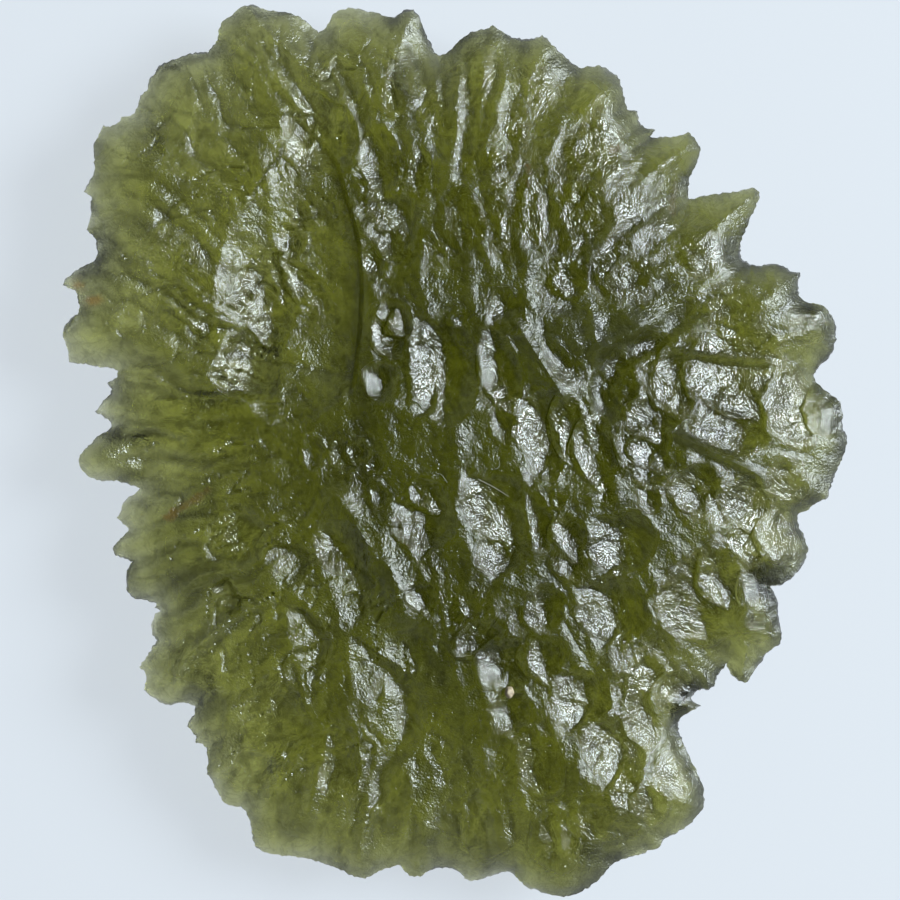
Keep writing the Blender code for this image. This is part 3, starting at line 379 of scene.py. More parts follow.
# Orange-brown stains, each along a short line: its ends, half width and strength
STAINS_PX = [
    (170, 516, 184, 507, 6.0, 1.0), (184, 506, 208, 491, 5.0, 0.8), (92, 301, 102, 299, 5.0, 0.7),
    (76, 287, 84, 286, 4.0, 0.6), (612, 152, 622, 148, 5.0, 0.6), (527, 168, 528, 176, 3.5, 0.9),
    (526, 184, 528, 188, 3.0, 0.8), (675, 186, 672, 214, 5.0, 0.5),
]
BLOT_GRAIN = 0.22 * MM
STAIN_COLOUR = (0.62, 0.27, 0.03)
STAIN_DULLNESS = 0.25
STAIN_ABOVE = 3.0 * MM

# Lint, as paths in picture pixels, and one grain of sand with its cut faces
FIBRES_PX = [
    [(541, 330), (542, 318), (549, 308), (560, 305), (568, 306)],
    [(527, 312), (533, 325), (538, 334), (544, 342), (536, 345), (528, 343)],
    [(478, 479), (488, 484), (497, 489), (508, 496)],
    [(494, 469), (498, 467), (499, 462)], [(437, 473), (442, 475), (447, 482)],
]
FIBRE_RADIUS = 0.013 * MM
FIBRE_STEPS = 7
FIBRE_SIDES = 6
LINT_DARK = (0.12, 0.12, 0.10)
LINT_LIGHT = (0.24, 0.24, 0.21)
SAND_PX = (509, 690)
SAND_HALF = (0.24 * MM, 0.30 * MM, 0.20 * MM)
SAND_FACETS = [
    (0.3, 0.2, 0.9, 0.72), (-0.8, 0.3, 0.4, 0.75), (0.7, -0.6, 0.3, 0.74), (0.1, 0.9, 0.3, 0.8),
    (-0.4, -0.8, 0.5, 0.78), (0.9, 0.4, 0.1, 0.82),
]
SAND_DARK = (0.17, 0.125, 0.075)
SAND_LIGHT = (0.32, 0.265, 0.18)

# Fibrous flow marks, which run out from the hub, and soft blotches
FLOW_PITCH = 0.42 * MM
FLOW_LENGTH = 1.7 * MM
FLOW_RADIUS = 13.0 * MM
FLOW_WAVER = 0.5 * MM
BLOTCH_PITCH = 2.4 * MM
BLOTCH_SHADE = 0.06

# Light, seen from the stone: the turn from +X towards +Y and the slant from straight up
KEY_TURN = math.radians(14.0)
KEY_SLANT = math.radians(50.0)
KEY_AWAY = 0.42
LIGHT_COLOUR = (0.84, 0.94, 1.0)
# Soft discs in that direction, each by its size at that distance, how brightly it glows, and how
# many times that distance it is away
SOFT_BOXES = [(0.75, 0.15, 1.10), (0.44, 3.4, 1.05), (0.22, 32.0, 1.0)]
SKY_STOPS = [(0.0, (0.66, 0.71, 0.76)), (0.30, (0.46, 0.50, 0.54)), (0.80, (0.03, 0.032, 0.034))]
FLOOR_SIZE = 1.6
FLOOR_GLOW = (0.70, 0.765, 0.83)
FLOOR_GLOW_STRENGTH = 0.84
FLOOR_COLOUR = (0.07, 0.072, 0.075)

# Camera: the picture is 900 pixels wide and level with the stone's rim
PICTURE_PX = 900.0
AIM_PX = (450.0, 450.0)
AIM_HEIGHT = 4.2 * MM
LENS = 150.0
SENSOR = 36.0


def plane(points_px):
    """Picture pixels to metres on the stone's plane."""
    p = np.asarray(points_px, dtype=float)
    x = (p[:, 0] - CENTRE_X_PX) * PX
    y = (CENTRE_Y_PX - p[:, 1]) * PX
    return np.stack([x, y], axis=1)


def ends_of(line):
    """Both ends of a line that is given as x, y, x, y in picture pixels."""
    return plane([line[:2], line[2:]])


def segment_distance(p, a, b):
    """Distance from points to one segment, how far along it, and which side they are on."""
    d = b - a
    length = math.hypot(d[0], d[1])
    d = d / length
    r = p - a
    along = np.clip(r @ d, 0.0, length)
    off = r - along[:, None] * d
    side = d[0] * r[:, 1] - d[1] * r[:, 0]
    return np.hypot(off[:, 0], off[:, 1]), along / length, side


def finder_of(points):
    """A finder of the nearest point, seen from straight above."""
    tree = kdtree.KDTree(len(points))
    for k, (x, y, *_) in enumerate(points):
        tree.insert((x, y, 0.0), k)
    tree.balance()
    return tree


def rim_distance(p, rim):
    """Distance from points to the rim, by way of the nearest of many marks along it."""
    n = len(rim)
    after = np.roll(rim, -1, axis=0)
    marks = []
    owner = []
    for i in range(n):
        length = math.hypot(*(after[i] - rim[i]))
        steps = max(1, int(math.ceil(length / RIM_MARK)))
        for k in range(steps):
            marks.append(rim[i] + (after[i] - rim[i]) * ((k + 0.5) / steps))
            owner.append(i)
    tree = finder_of(marks)
    near = np.array([owner[tree.find((x, y, 0.0))[1]] for x, y in p])
    best = np.full(len(p), 1.0)
    for step in (-1, 0, 1):
        a = rim[(near + step) % n]
        d = after[(near + step) % n] - a
        t = ((p - a) * d).sum(axis=1) / np.maximum((d * d).sum(axis=1), 1e-16)
        off = p - a - np.clip(t, 0.0, 1.0)[:, None] * d
        best = np.minimum(best, np.hypot(off[:, 0], off[:, 1]))
    return best


def inside_rim(p, rim):
    """True for the points that lie inside the closed rim."""
    x = p[:, 0]
    y = p[:, 1]
    inside = np.zeros(len(p), dtype=bool)
    for i in range(len(rim)):
        x0, y0 = rim[i]
        x1, y1 = rim[(i + 1) % len(rim)]
        if y0 == y1:
            continue
        crosses = (y0 > y) != (y1 > y)
        at = x0 + (y - y0) * (x1 - x0) / (y1 - y0)
        inside ^= crosses & (x < at)
    return inside


def ease(x):
    """Smooth step from 0 to 1."""
    t = np.clip(x, 0.0, 1.0)
    return t * t * (3.0 - 2.0 * t)


def lattice(ix, iy, seed):
    """A repeatable random number from 0 to 1 for each whole-number cell."""
    h = np.sin(ix * 127.1 + iy * 311.7 + seed * 74.7) * 43758.5453
    return h - np.floor(h)


def smooth_noise(x, y, seed):
    """Smoothly varying noise from -1 to 1."""
    ix = np.floor(x)
    iy = np.floor(y)
    fx = ease(x - ix)
    fy = ease(y - iy)
    low = lattice(ix, iy, seed) * (1 - fx) + lattice(ix + 1, iy, seed) * fx
    high = lattice(ix, iy + 1, seed) * (1 - fx) + lattice(ix + 1, iy + 1, seed) * fx
    return 2.0 * (low * (1 - fy) + high * fy) - 1.0


def from_hub(p):
    """Distance and direction of points from the hub, and how far right of it they are."""
    r = p - plane([HUB_PX])[0]
    return np.hypot(r[:, 0], r[:, 1]), np.arctan2(r[:, 1], r[:, 0]), r[:, 0]


def lie_of(p):
    """Direction in which hollows are stretched: slanting in the middle, radial at the rim."""
    far, radial, _ = from_hub(p)
    w = ease((far - RADIAL_FROM) / RADIAL_OVER)
    # Directions that differ by half a turn are the same, so they are blended doubled
    cx = (1 - w) * math.cos(2 * MIDDLE_SLANT) + w * np.cos(2 * radial)
    cy = (1 - w) * math.sin(2 * MIDDLE_SLANT) + w * np.sin(2 * radial)
    return 0.5 * np.arctan2(cy, cx)


def turned(p, turn):
    """Places along and across a direction."""
    along = p[:, 0] * np.cos(turn) + p[:, 1] * np.sin(turn)
    return along, -p[:, 0] * np.sin(turn) + p[:, 1] * np.cos(turn)


def scattered_hollows(p, cell, seed):
    """Depth from 0 to 1 of overlapping oval hollows, about one to each cell."""
    deepest = np.zeros(len(p))
    for ox, oy in itertools.product(range(-2, 3), repeat=2):
        cx = np.floor(p[:, 0] / cell) + ox
        cy = np.floor(p[:, 1] / cell) + oy
        at = np.stack([
            (cx + 0.1 + 0.8 * lattice(cx, cy, seed)) * cell,
            (cy + 0.1 + 0.8 * lattice(cx, cy, seed + 1)) * cell,
        ], axis=1)
        turn = lie_of(at) + POCK_TURN * (lattice(cx, cy, seed + 2) - 0.5)
        size = cell * (POCK_LEAST + POCK_RANGE * lattice(cx, cy, seed + 3))
        along, across = turned(p - at, turn)
        q = (along / (POCK_LONG * size)) ** 2 + (across / (POCK_WIDE * size)) ** 2
        deepest = np.maximum(deepest, (size / cell) * (1.0 - q))
    return deepest


def hollow_shapes():
    """Centre, direction, half length, half width and depth of each hollow, in cutting order."""
    shapes = []
    for *line, wide, steep in HOLLOWS_PX:
        a, b = ends_of(line)
        d = b - a
        length = math.hypot(d[0], d[1])
        d = d / length
        across = np.array([-d[1], d[0]])
        half_wide = wide * PX * HOLLOW_HALF
        half_long = max(length * HOLLOW_HALF, half_wide * HOLLOW_LEAST_LENGTH)
        centre = (a + b) / 2 + across * half_wide * HOLLOW_SHIFT
        leftward = ease((STEEPER_LEFT_OF_PX - line[0]) / STEEPER_OVER_PX)
        depth = HOLLOW_DEPTH_PER_WIDTH * steep * wide * PX * (1.0 + STEEPER_LEFT * leftward)
        shapes.append((centre, d, half_long, half_wide, depth))
    # A hollow nearer the upper right was eaten in later, and cuts those before it
    shapes.sort(key=lambda shape: shape[0][0] * CUT_ORDER[0] + shape[0][1] * CUT_ORDER[1])
    return shapes


def two_noises(p, pitch, finer, share, seed):
    """Smooth noise over places, with a share of finer noise on top."""
    x = p[:, 0] / pitch
    y = p[:, 1] / pitch
    return smooth_noise(x, y, seed) + share * smooth_noise(finer * x, finer * y, seed + 1)


def wandering(p):
    """Places shifted a little, so that edges drawn through them wander."""
    return p + WANDER * np.stack([
        two_noises(p, WANDER_PITCH, 2.3, 0.5, SEED + 30),
        two_noises(p, WANDER_PITCH, 2.3, 0.5, SEED + 32),
    ], axis=1)


def hollow_reach(p, centre, d, half_long, half_wide):
    """How far across a hollow points lie, and how far out, squared, with 1 at its edge."""
    r = p - centre
    u = (r @ d) / half_long
    v = (r @ np.array([-d[1], d[0]])) / half_wide
    return v, u * u + np.where(v < 0, np.abs(v) ** LEFT_WALL_BEND, v * v)


def main_hollows(p):
    """Depth of the face's hollows. Each has a sharp crest on its left, which later ones cut."""
    depth = np.zeros(len(p))
    p = wandering(p)
    for centre, d, half_long, half_wide, deep in hollow_shapes():
        near = np.flatnonzero(np.abs(p - centre).max(axis=1) < max(half_long, half_wide))
        v, q = hollow_reach(p[near], centre, d, half_long, half_wide)
        own = deep * (1.0 - q)
        left = ease((1.0 - np.sqrt(q)) * half_wide / CREST_WALL) * ease(0.6 - 2.0 * v)
        depth[near] = np.maximum(depth[near], own) * (1.0 - left) + own * left
    return depth


def bowl_depth(p):
    """The wide bowl, steeper at its side than a plain dish."""
    c = plane([BOWL_PX])[0]
    q = ((p[:, 0] - c[0]) / (BOWL_HALF_WIDE_PX * PX)) ** 2
    q = q + ((p[:, 1] - c[1]) / (BOWL_HALF_TALL_PX * PX)) ** 2
    return BOWL_DEPTH * np.clip(1.0 - q ** 1.4, 0.0, 1.0)


def line_distance(p, line_px):
    """Distance to a bent line, the side of its nearest part, and how far along it lies."""
    line = plane(line_px)
    best = np.full(len(p), 1.0)
    best_side = np.zeros(len(p))
    best_along = np.zeros(len(p))
    for i in range(len(line) - 1):
        dist, along, side = segment_distance(p, line[i], line[i + 1])
        near = dist < best
        best = np.where(near, dist, best)
        best_side = np.where(near, side, best_side)
        best_along = np.where(near, (i + along) / (len(line) - 1), best_along)
    return best, best_side, best_along


def fading(along, start, end):
    """1 along a line, falling to 0 at its ends over the given shares of its length."""
    return ease(along / start) * ease((1.0 - along) / end)


def ledge_drop(p):
    """How far the face drops on the left side of the ledge."""
    dist, side, along = line_distance(p, LEDGE_PX)
    wall = ease(dist / (LEDGE_WALL_PX * PX))
    fade = np.exp(-(dist / (LEDGE_REACH_PX * PX)) ** 2)
    return np.where(side < 0, LEDGE_DROP * fading(along, 0.25, 0.12) * wall * fade, 0.0)


def furrow_depth(p):
    """The long furrow down to the lower rim, and the narrow channel."""
    dist, _, along = line_distance(p, FURROW_PX)
    depth = FURROW_DEPTH * ease(along / 0.2)
    depth = depth * np.clip(1.0 - (dist / (FURROW_HALF_WIDE_PX * PX)) ** 2, 0.0, 1.0)
    dist, _, along = line_distance(p, CHANNEL_PX)
    channel = CHANNEL_DEPTH * fading(along, 0.15, 0.15)
    return depth + channel * np.clip(1.0 - (dist / (CHANNEL_HALF_WIDE_PX * PX)) ** 2, 0.0, 1.0)


def ramp_depth(p):
    """Wide facets that slope down to the right of a crisp crest, then rise again."""
    depth = np.zeros(len(p))
    uneven = smooth_noise(p[:, 1] / RAMP_WAVER_DOWN, p[:, 0] / RAMP_WAVER_ACROSS, SEED + 30)
    for *line, wide, deep in RAMPS_PX:
        dist, along, side = segment_distance(p, *ends_of(line))
        round_off = np.sqrt(np.clip(1.0 - (2.0 * along - 1.0) ** 2, 0.06, 1.0))
        t = dist / (wide * PX * round_off) * (1.0 + 0.35 * uneven)
        down = np.clip(t, 0.0, 1.0) * (1.0 - ease((t - 0.95) / 0.7))
        depth = np.maximum(depth, deep * MM * np.where(side > 0, down, 0.0) * round_off)
    return depth


def ridge_rise(p):
    """The soft ridge that runs down beside the ramps."""
    dist, _, along = line_distance(p, RIDGE_PX)
    return RIDGE_RISE * fading(along, 0.15, 0.15) * np.exp(-(dist / (RIDGE_HALF_WIDE_PX * PX)) ** 2)


def fin_rise(p):
    """The thin raised fins."""
    rise = np.zeros(len(p))
    for *line, half, tall in FINS_PX:
        dist, along, _ = segment_distance(p, *ends_of(line))
        ends = ease((along + 0.08) / 0.2) * ease((1.08 - along) / 0.2)
        sharp = np.clip(1.0 - dist / (half * PX), 0.0, 1.0)
        rise = np.maximum(rise, tall * MM * ends * sharp ** 1.2)
    return rise


def ribs(p, edge, seed):
    """Ribs that run in from the rim towards the hub, as a rise above and below zero."""
    far, turn, right = from_hub(p)
    turn = turn + 0.05 * smooth_noise(far / RIB_BEND, right * 60, seed)
    lines = turn * RIM_RADIUS / RIB_PITCH
    wave = smooth_noise(lines, far / RIB_LENGTH, seed + 1)
    wave = wave + 0.5 * smooth_noise(lines * 2.3, far / RIB_SHORT_LENGTH, seed + 2)
    near_rim = np.exp(-(edge / RIB_REACH) ** 2)
    where = 0.28 + 0.72 * ease(0.35 - right / RIM_RADIUS)
    return RIB_RISE * near_rim * where * (0.35 - np.abs(wave)) * 1.3


def dome(p, x_px, y_px, wide_px, tall_px):
    """A rounded swelling from 0 to 1 round a place, with a half width and a half height."""
    c = plane([(x_px, y_px)])[0]
    q = ((p[:, 0] - c[0]) / (wide_px * PX)) ** 2 + ((p[:, 1] - c[1]) / (tall_px * PX)) ** 2
    return np.exp(-q ** DOME_SQUARENESS)


def middle(p, edge):
    """Height of the surface midway between face and back."""
    wave = smooth_noise(p[:, 0] / WAVE_PITCH, p[:, 1] / WAVE_PITCH, SEED)
    small = smooth_noise(p[:, 0] / SMALL_WAVE_PITCH, p[:, 1] / SMALL_WAVE_PITCH, SEED + 5)
    near_rim = np.exp(-edge / SMALL_WAVE_REACH)
    lift = LIFT_LEFT * ease(-(p[:, 0] + LIFT_FROM) / LIFT_OVER)
    outer = 0.12 + 0.88 * np.exp(-edge / WAVE_REACH)
    return lift + RIM_WAVE * (0.6 * outer * wave + 0.45 * near_rim * small)


def taper(edge):
    """How the thickness grows from the blunt rim."""
    return EDGE_BLUNTNESS + (1.0 - EDGE_BLUNTNESS) * edge / (edge + EDGE_SOFTNESS)


def carved(full, depth):
    """Height left over after carving, which never reaches nothing."""
    safe = np.maximum(full, 1e-9)
    return full * np.exp(-np.maximum(depth, -1.2 * safe) / safe)


def face_height(p, edge):
    """Height of the face above the middle surface."""
    full = FACE_SKIRT + FACE_DOME * dome(p, *FACE_THICK_PX)
    x_px = p[:, 0] / PX + CENTRE_X_PX
    y_px = CENTRE_Y_PX - p[:, 1] / PX
    calm = ease((CALM_BELOW_PX - y_px) / CALM_BLEND_PX) * ease((x_px - CALM_LEFT_PX) / CALM_BLEND_PX)
    main = np.maximum(main_hollows(p) * (1.0 - CALMING * calm), ramp_depth(p))
    depth = main + bowl_depth(p) + ledge_drop(p) + furrow_depth(p)
    depth = depth + FLANGE_DROP * ease((FLANGE_START_PX - x_px) / FLANGE_WIDE_PX)
    bare = 1.0 - MID_HELD_BACK * ease(main / MID_COVERED_AT)
    bare = bare * (1.0 - MID_FLANGE_SHARE * ease((FLANGE_START_PX - x_px) / (0.5 * FLANGE_WIDE_PX)))
    depth = depth + MID_DEPTH * bare * scattered_hollows(p, MID_CELL, SEED + 10)
    depth = depth - fin_rise(p) - ribs(p, edge, SEED + 20)
    lip = ease((LIP_BELOW_PX - y_px) / LIP_BLEND_PX) * ease((x_px - LIP_LEFT_PX) / LIP_BLEND_PX)
    depth = depth - LIP_RISE * lip * (edge / LIP_REACH) * np.exp(1.0 - edge / LIP_REACH) - ridge_rise(p)
    for *where, tall in SHOULDERS_PX:
        depth = depth - tall * MM * dome(p, *where)
    return carved(full, depth) * taper(edge)


def back_height(p, edge):
    """Depth of the back below the middle surface."""
    full = BACK_SKIRT + BACK_DOME * dome(p, *BACK_THICK_PX)
    c = plane([FLAT_PX])[0]
    away = np.hypot(p[:, 0] - c[0], p[:, 1] - c[1]) / FLAT_SPOT_RADIUS
    depth = BACK_DEPTH * scattered_hollows(p, BACK_CELL, SEED + 40)
    depth = depth + BACK_MID_DEPTH * scattered_hollows(p, BACK_MID_CELL, SEED + 50)
    depth = depth * ease((away - 0.75) / 0.7) - ribs(p, edge, SEED + 60)
    return carved(full, depth) * taper(edge)


def hexagonal_points(rim, spacing):
    """Evenly spread points well inside the rim."""
    low = rim.min(axis=0)
    high = rim.max(axis=0)
    rows = int((high[1] - low[1]) / (spacing * math.sqrt(0.75))) + 1
    columns = int((high[0] - low[0]) / spacing) + 1
    row, column = np.meshgrid(np.arange(rows), np.arange(columns), indexing="ij")
    x = low[0] + (column + 0.5 * (row % 2)) * spacing
    y = low[1] + (row + 0.5) * spacing * math.sqrt(0.75)
    p = np.stack([x.ravel(), y.ravel()], axis=1)
    p = p[inside_rim(p, rim)]
    return p[rim_distance(p, rim) > RIM_CLEARANCE * spacing]


def unwandered(p):
    """The places that wander onto the given ones."""
    out = p.copy()
    for _ in range(4):
        out = p - (wandering(out) - out)
    return out


def crest_rows():
    """Rows of points at the top and foot of each hollow's left wall, where nothing cuts it."""
    shapes = hollow_shapes()
    rows = []
    for i, (centre, d, half_long, half_wide, _) in enumerate(shapes):
        across = np.array([-d[1], d[0]])
        turn = np.linspace(-CREST_TURN, CREST_TURN, 61)
        v = -np.abs(np.cos(turn)) ** (2.0 / LEFT_WALL_BEND)
        for inset in (0.0, CREST_WALL):
            shrink = 1.0 - inset / half_wide
            arc = centre + np.outer(np.sin(turn) * half_long * shrink, d)
            arc = arc + np.outer(v * half_wide * shrink, across)
            run = np.concatenate([[0.0], np.cumsum(np.hypot(*np.diff(arc, axis=0).T))])
            at = np.linspace(0.0, run[-1], max(2, int(run[-1] / CREST_PITCH)))
            row = np.column_stack([np.interp(at, run, arc[:, 0]), np.interp(at, run, arc[:, 1])])
            for *later, _ in shapes[i + 1:]:
                v_later, q = hollow_reach(row, *later)
                row = row[(q > 1.0) | (v_later > 0.1)]
            rows.append(unwandered(row))
    return np.vstack(rows)


def line_rows(line_px, apart, pitch):
    """Points in two rows along a bent line, on it and a little to its left."""
    line = plane(line_px)
    out = []
    for a, b in zip(line[:-1], line[1:]):
        d = b - a
        length = math.hypot(d[0], d[1])
        across = np.array([d[1], -d[0]]) / length
        steps = max(1, int(round(length / pitch)))
        for k in range(steps):
            at = a + d * (k / steps)
            out += [at, at + across * apart] if apart else [at]
    return np.array(out)


def crested_points(rim, spacing):
    """An even spread of points, led by rows on the crests, the ledge and the fins."""
    lines = [crest_rows(), line_rows(LEDGE_PX, LEDGE_WALL_PX * PX, CREST_PITCH)]
    for ax, ay, bx, by, *_ in FINS_PX:
        lines.append(line_rows([(ax, ay), (bx, by)], 0.0, CREST_PITCH))
    rows = np.vstack(lines)
    rows = rows[inside_rim(rows, rim)]
    rows = rows[rim_distance(rows, rim) > RIM_CLEARANCE * spacing]
    tree = finder_of(rows)
    # Of row points that crowd each other the first is kept
    gone = np.zeros(len(rows), dtype=bool)
    for k, (x, y) in enumerate(rows):
        if not gone[k]:
            for _, j, _ in tree.find_range((x, y, 0.0), ROW_CLEARANCE):
                gone[j] = gone[j] or j > k
    spread = hexagonal_points(rim, spacing)
    away = np.array([tree.find((x, y, 0.0))[2] for x, y in spread])
    return np.vstack([rows[~gone], spread[away > SPREAD_CLEARANCE * spacing]])


def triangles_of(rim, inner):
    """Triangles over the rim and the inner points, with no edge straight across the rim."""
    points = [Vector((x, y)) for x, y in np.vstack([rim, inner])]
    n = len(rim)
    edges = [(i, (i + 1) % n) for i in range(n)]
    _, _, faces, sources, _, _ = delaunay_2d_cdt(points, edges, [], 0, 1e-9, True)
    index = [s[0] if len(s) else -1 for s in sources]
    tris = np.array([[index[v] for v in f] for f in faces if len(f) == 3])
    tris = tris[(tris >= 0).all(axis=1)]
    flat = np.vstack([rim, inner])
    centre = flat[tris].mean(axis=1)
    tris = tris[inside_rim(centre, rim)]
    u = flat[tris[:, 1]] - flat[tris[:, 0]]
    v = flat[tris[:, 2]] - flat[tris[:, 0]]
    wrong_way = u[:, 0] * v[:, 1] - u[:, 1] * v[:, 0] < 0
    tris[wrong_way] = tris[wrong_way][:, ::-1]
    return split_chords(flat, tris.tolist(), n)


def split_chords(flat, tris, n):
    """Put a new point in the middle of each edge that joins two rim points through the inside."""
    added = {}
    extra = []

    def middle_of(a, b):
        if a >= n or b >= n or (a - b) % n in (1, n - 1):
            return None
        key = (min(a, b), max(a, b))
        if key not in added:
            added[key] = len(flat) + len(extra)
            extra.append((flat[a] + flat[b]) / 2)
        return added[key]

    out = []
    for a, b, c in tris:
        mids = [middle_of(a, b), middle_of(b, c), middle_of(c, a)]
        if None not in mids:
            ab, bc, ca = mids
            out += [(a, ab, ca), (ab, b, bc), (bc, c, ca), (ab, bc, ca)]
            continue
        # The corners and new points in turn, fanned out from the first new point
        ring = [v for pair in zip((a, b, c), mids) for v in pair if v is not None]
        start = ring.index(next((v for v in mids if v is not None), a))
        ring = ring[start:] + ring[:start]
        out += [(ring[0], ring[k], ring[k + 1]) for k in range(1, len(ring) - 1)]
    return np.array(list(flat) + extra)[n:], out


def fine_rim():
    """The rim with small chips and serrations between its read points."""
    coarse = plane(RIM_PX)
    out = []
    n = len(coarse)
    for i in range(n):
        a = coarse[i]
        d = coarse[(i + 1) % n] - a
        length = math.hypot(d[0], d[1])
        across = np.array([-d[1], d[0]]) / length
        steps = max(2, int(round(length / RIM_STEP)))
        for k in range(steps):
            chip = 0.0
            if k:
                chip = RIM_CHIP * (lattice(float(i), float(k), SEED + 80) - 0.45)
            out.append(a + d * (k / steps) + across * chip)
    return np.array(out)


def fine_relief(p, seed, fine_depth):
    """Small pits, grain and scratches, finer than the plain solid holds."""
    depth = fine_depth * scattered_hollows(p, FINE_CELL, seed)
    depth = depth + GRAIN_DEPTH * scattered_hollows(p, GRAIN_CELL, seed + 4)
    along, across = turned(p, lie_of(p))
    stria = smooth_noise(across / STRIA_PITCH, along / STRIA_LENGTH, seed + 8)
    # Hairline grooves that run in from the rim, most on the left flange
    far, turn, right = from_hub(p)
    turn = turn + 0.07 * smooth_noise(far / HAIRLINE_BEND, right * 90, seed + 9)
    lines = smooth_noise(turn * RIM_RADIUS / HAIRLINE_PITCH, far / HAIRLINE_LENGTH, seed + 10)
    broken = ease(0.5 + smooth_noise(far / HAIRLINE_BREAK, turn * 14.0, seed + 11))
    where = ease((far - HAIRLINE_FROM) / HAIRLINE_OVER)
    where = where * (0.3 + 0.7 * ease(0.2 - right / HAIRLINE_LEFT_OVER))
    groove = np.clip(1.0 - np.abs(lines) / 0.13, 0.0, 1.0)
    return depth + HAIRLINE_DEPTH * groove * broken * where + STRIA_DEPTH * stria


def nicks(p, edge, seed):
    """How far a broken, uneven rim falls short of a whole one, at and near the rim."""
    long_ones = smooth_noise(p[:, 0] / NICK_LENGTH, p[:, 1] / NICK_LENGTH, seed)
    short_ones = smooth_noise(3.1 * p[:, 0] / NICK_LENGTH, 3.1 * p[:, 1] / NICK_LENGTH, seed + 1)
    share = np.clip(0.45 + 0.9 * long_ones + 0.45 * short_ones, 0.0, 1.0)
    return NICK_DEPTH * share * np.exp(-edge / NICK_REACH)


def rim_wall(rim, top, bottom):
    """Rows of corners between the two rim loops, rounded out and crumbled like chipped glass."""
    n = len(rim)
    along = np.roll(rim, -3, axis=0) - np.roll(rim, 3, axis=0)
    length = np.maximum(np.hypot(along[:, 0], along[:, 1]), 0.01 * MM)
    out = np.column_stack([along[:, 1], -along[:, 0]]) / length[:, None]
    run = np.cumsum(np.hypot(*(rim - np.roll(rim, 1, axis=0)).T))
    rows = []
    for k in range(1, RIM_ROWS):
        t = k / RIM_ROWS
        level = top + (bottom - top) * t
        bulge = 0.6 + smooth_noise(run / RIM_BULGE_LENGTH, np.full(n, 7.0), SEED + 130)
        crumb = smooth_noise(run / RIM_CRUMB_CELL, level / RIM_CRUMB_CELL, SEED + 131)
        push = RIM_BULGE * bulge * math.sin(math.pi * t) + RIM_CRUMB * crumb
        sway = RIM_CRUMB * smooth_noise(run / RIM_CRUMB_CELL, np.full(n, 3.0 * k), SEED + 132)
        rows.append(np.column_stack([rim + out * push[:, None], level + sway]))
    return rows


def joined_faces(n, face_count, first_row, face_tris, back_tris):
    """Triangles of the whole stone: the face, the back turned over, and the rim wall between."""
    face_tris = np.array(face_tris, dtype=int)
    face_tris[face_tris >= n] += n
    back_tris = np.array(back_tris, dtype=int)[:, ::-1].copy()
    back_tris += np.where(back_tris >= n, n + face_count, n)
    i = np.arange(n)
    after = (i + 1) % n
    loops = [0] + [first_row + n * k for k in range(RIM_ROWS - 1)] + [n]
    wall = []
    for upper, lower in zip(loops[:-1], loops[1:]):
        wall.append(np.column_stack([lower + i, lower + after, upper + after]))
        wall.append(np.column_stack([lower + i, upper + after, upper + i]))
    return np.vstack([face_tris, back_tris] + wall)


def stone_mesh():
    """The whole stone: corners, triangles, rim nearness, wear, which are the back's, rim count."""
    rim = fine_rim()
    n = len(rim)
    no_edge = np.zeros(n)
    rim_z = middle(rim, no_edge)
    face_points, face_tris = triangles_of(rim, crested_points(rim, FACE_SPACING))
    back_points, back_tris = triangles_of(rim, hexagonal_points(rim, BACK_SPACING))
    face_edge = rim_distance(face_points, rim)
    back_edge = rim_distance(back_points, rim)
    face_z = middle(face_points, face_edge) + face_height(face_points, face_edge)
    back_z = middle(back_points, back_edge) - back_height(back_points, back_edge)
    # The lowest part of the back is taken off flat, as on the plain solid
    lift = -(back_z.min() + FLAT_SPOT_CUT)
    face_fine = fine_relief(face_points, SEED + 90, FACE_FINE_DEPTH) * taper(face_edge)
    back_fine = fine_relief(back_points, SEED + 110, BACK_FINE_DEPTH) * taper(back_edge)
    face_z = face_z - face_fine - nicks(face_points, face_edge, SEED + 140)
    back_z = back_z + back_fine + nicks(back_points, back_edge, SEED + 150)
    top = rim_z + face_height(rim, no_edge) - nicks(rim, no_edge, SEED + 140)
    bottom = rim_z - back_height(rim, no_edge) + nicks(rim, no_edge, SEED + 150)
    places = [(rim, top), (rim, bottom), (face_points, face_z), (back_points, back_z)]
    places = [np.column_stack(pair) for pair in places]
    corners = np.vstack(places + rim_wall(rim, top, bottom))
    corners[:, 2] = np.maximum(corners[:, 2] + lift, 0.0)
    wall_edge = np.zeros(n * (RIM_ROWS - 1))
    near_rim = np.exp(-np.concatenate([no_edge, no_edge, face_edge, back_edge, wall_edge]) / FROST_REACH)
    # The ground left standing between the hollows is the most worn
    first_back = 2 * n + len(face_points)
    first_row = first_back + len(back_points)
    worn = np.zeros(len(corners))
    standing = 1.0 - ease(main_hollows(face_points) / WORN_DEPTH)
    worn[2 * n:first_back] = np.minimum(standing + fin_rise(face_points) / WORN_RISE, 1.4)
    back_side = np.zeros(len(corners), dtype=bool)
    back_side[n:2 * n] = True
    back_side[first_back:first_row] = True
    faces = joined_faces(n, len(face_points), first_row, face_tris, back_tris)
    return corners, faces, near_rim, worn, back_side, n


def mesh_object(name, corners, faces, smooth=True):
    """A new mesh object in the scene."""
    mesh = bpy.data.meshes.new(name)
    mesh.vertices.add(len(corners))
    mesh.vertices.foreach_set("co", np.asarray(corners, dtype=np.float32).ravel())
    faces = np.asarray(faces, dtype=np.int32)
    mesh.loops.add(faces.size)
    mesh.loops.foreach_set("vertex_index", faces.ravel())
    mesh.polygons.add(len(faces))
    mesh.polygons.foreach_set("loop_start", np.arange(0, faces.size, faces.shape[1], dtype=np.int32))
    mesh.update(calc_edges=True)
    mesh.validate()
    if smooth:
        mesh.shade_smooth()
    thing = bpy.data.objects.new(name, mesh)
    bpy.context.scene.collection.objects.link(thing)
    return thing


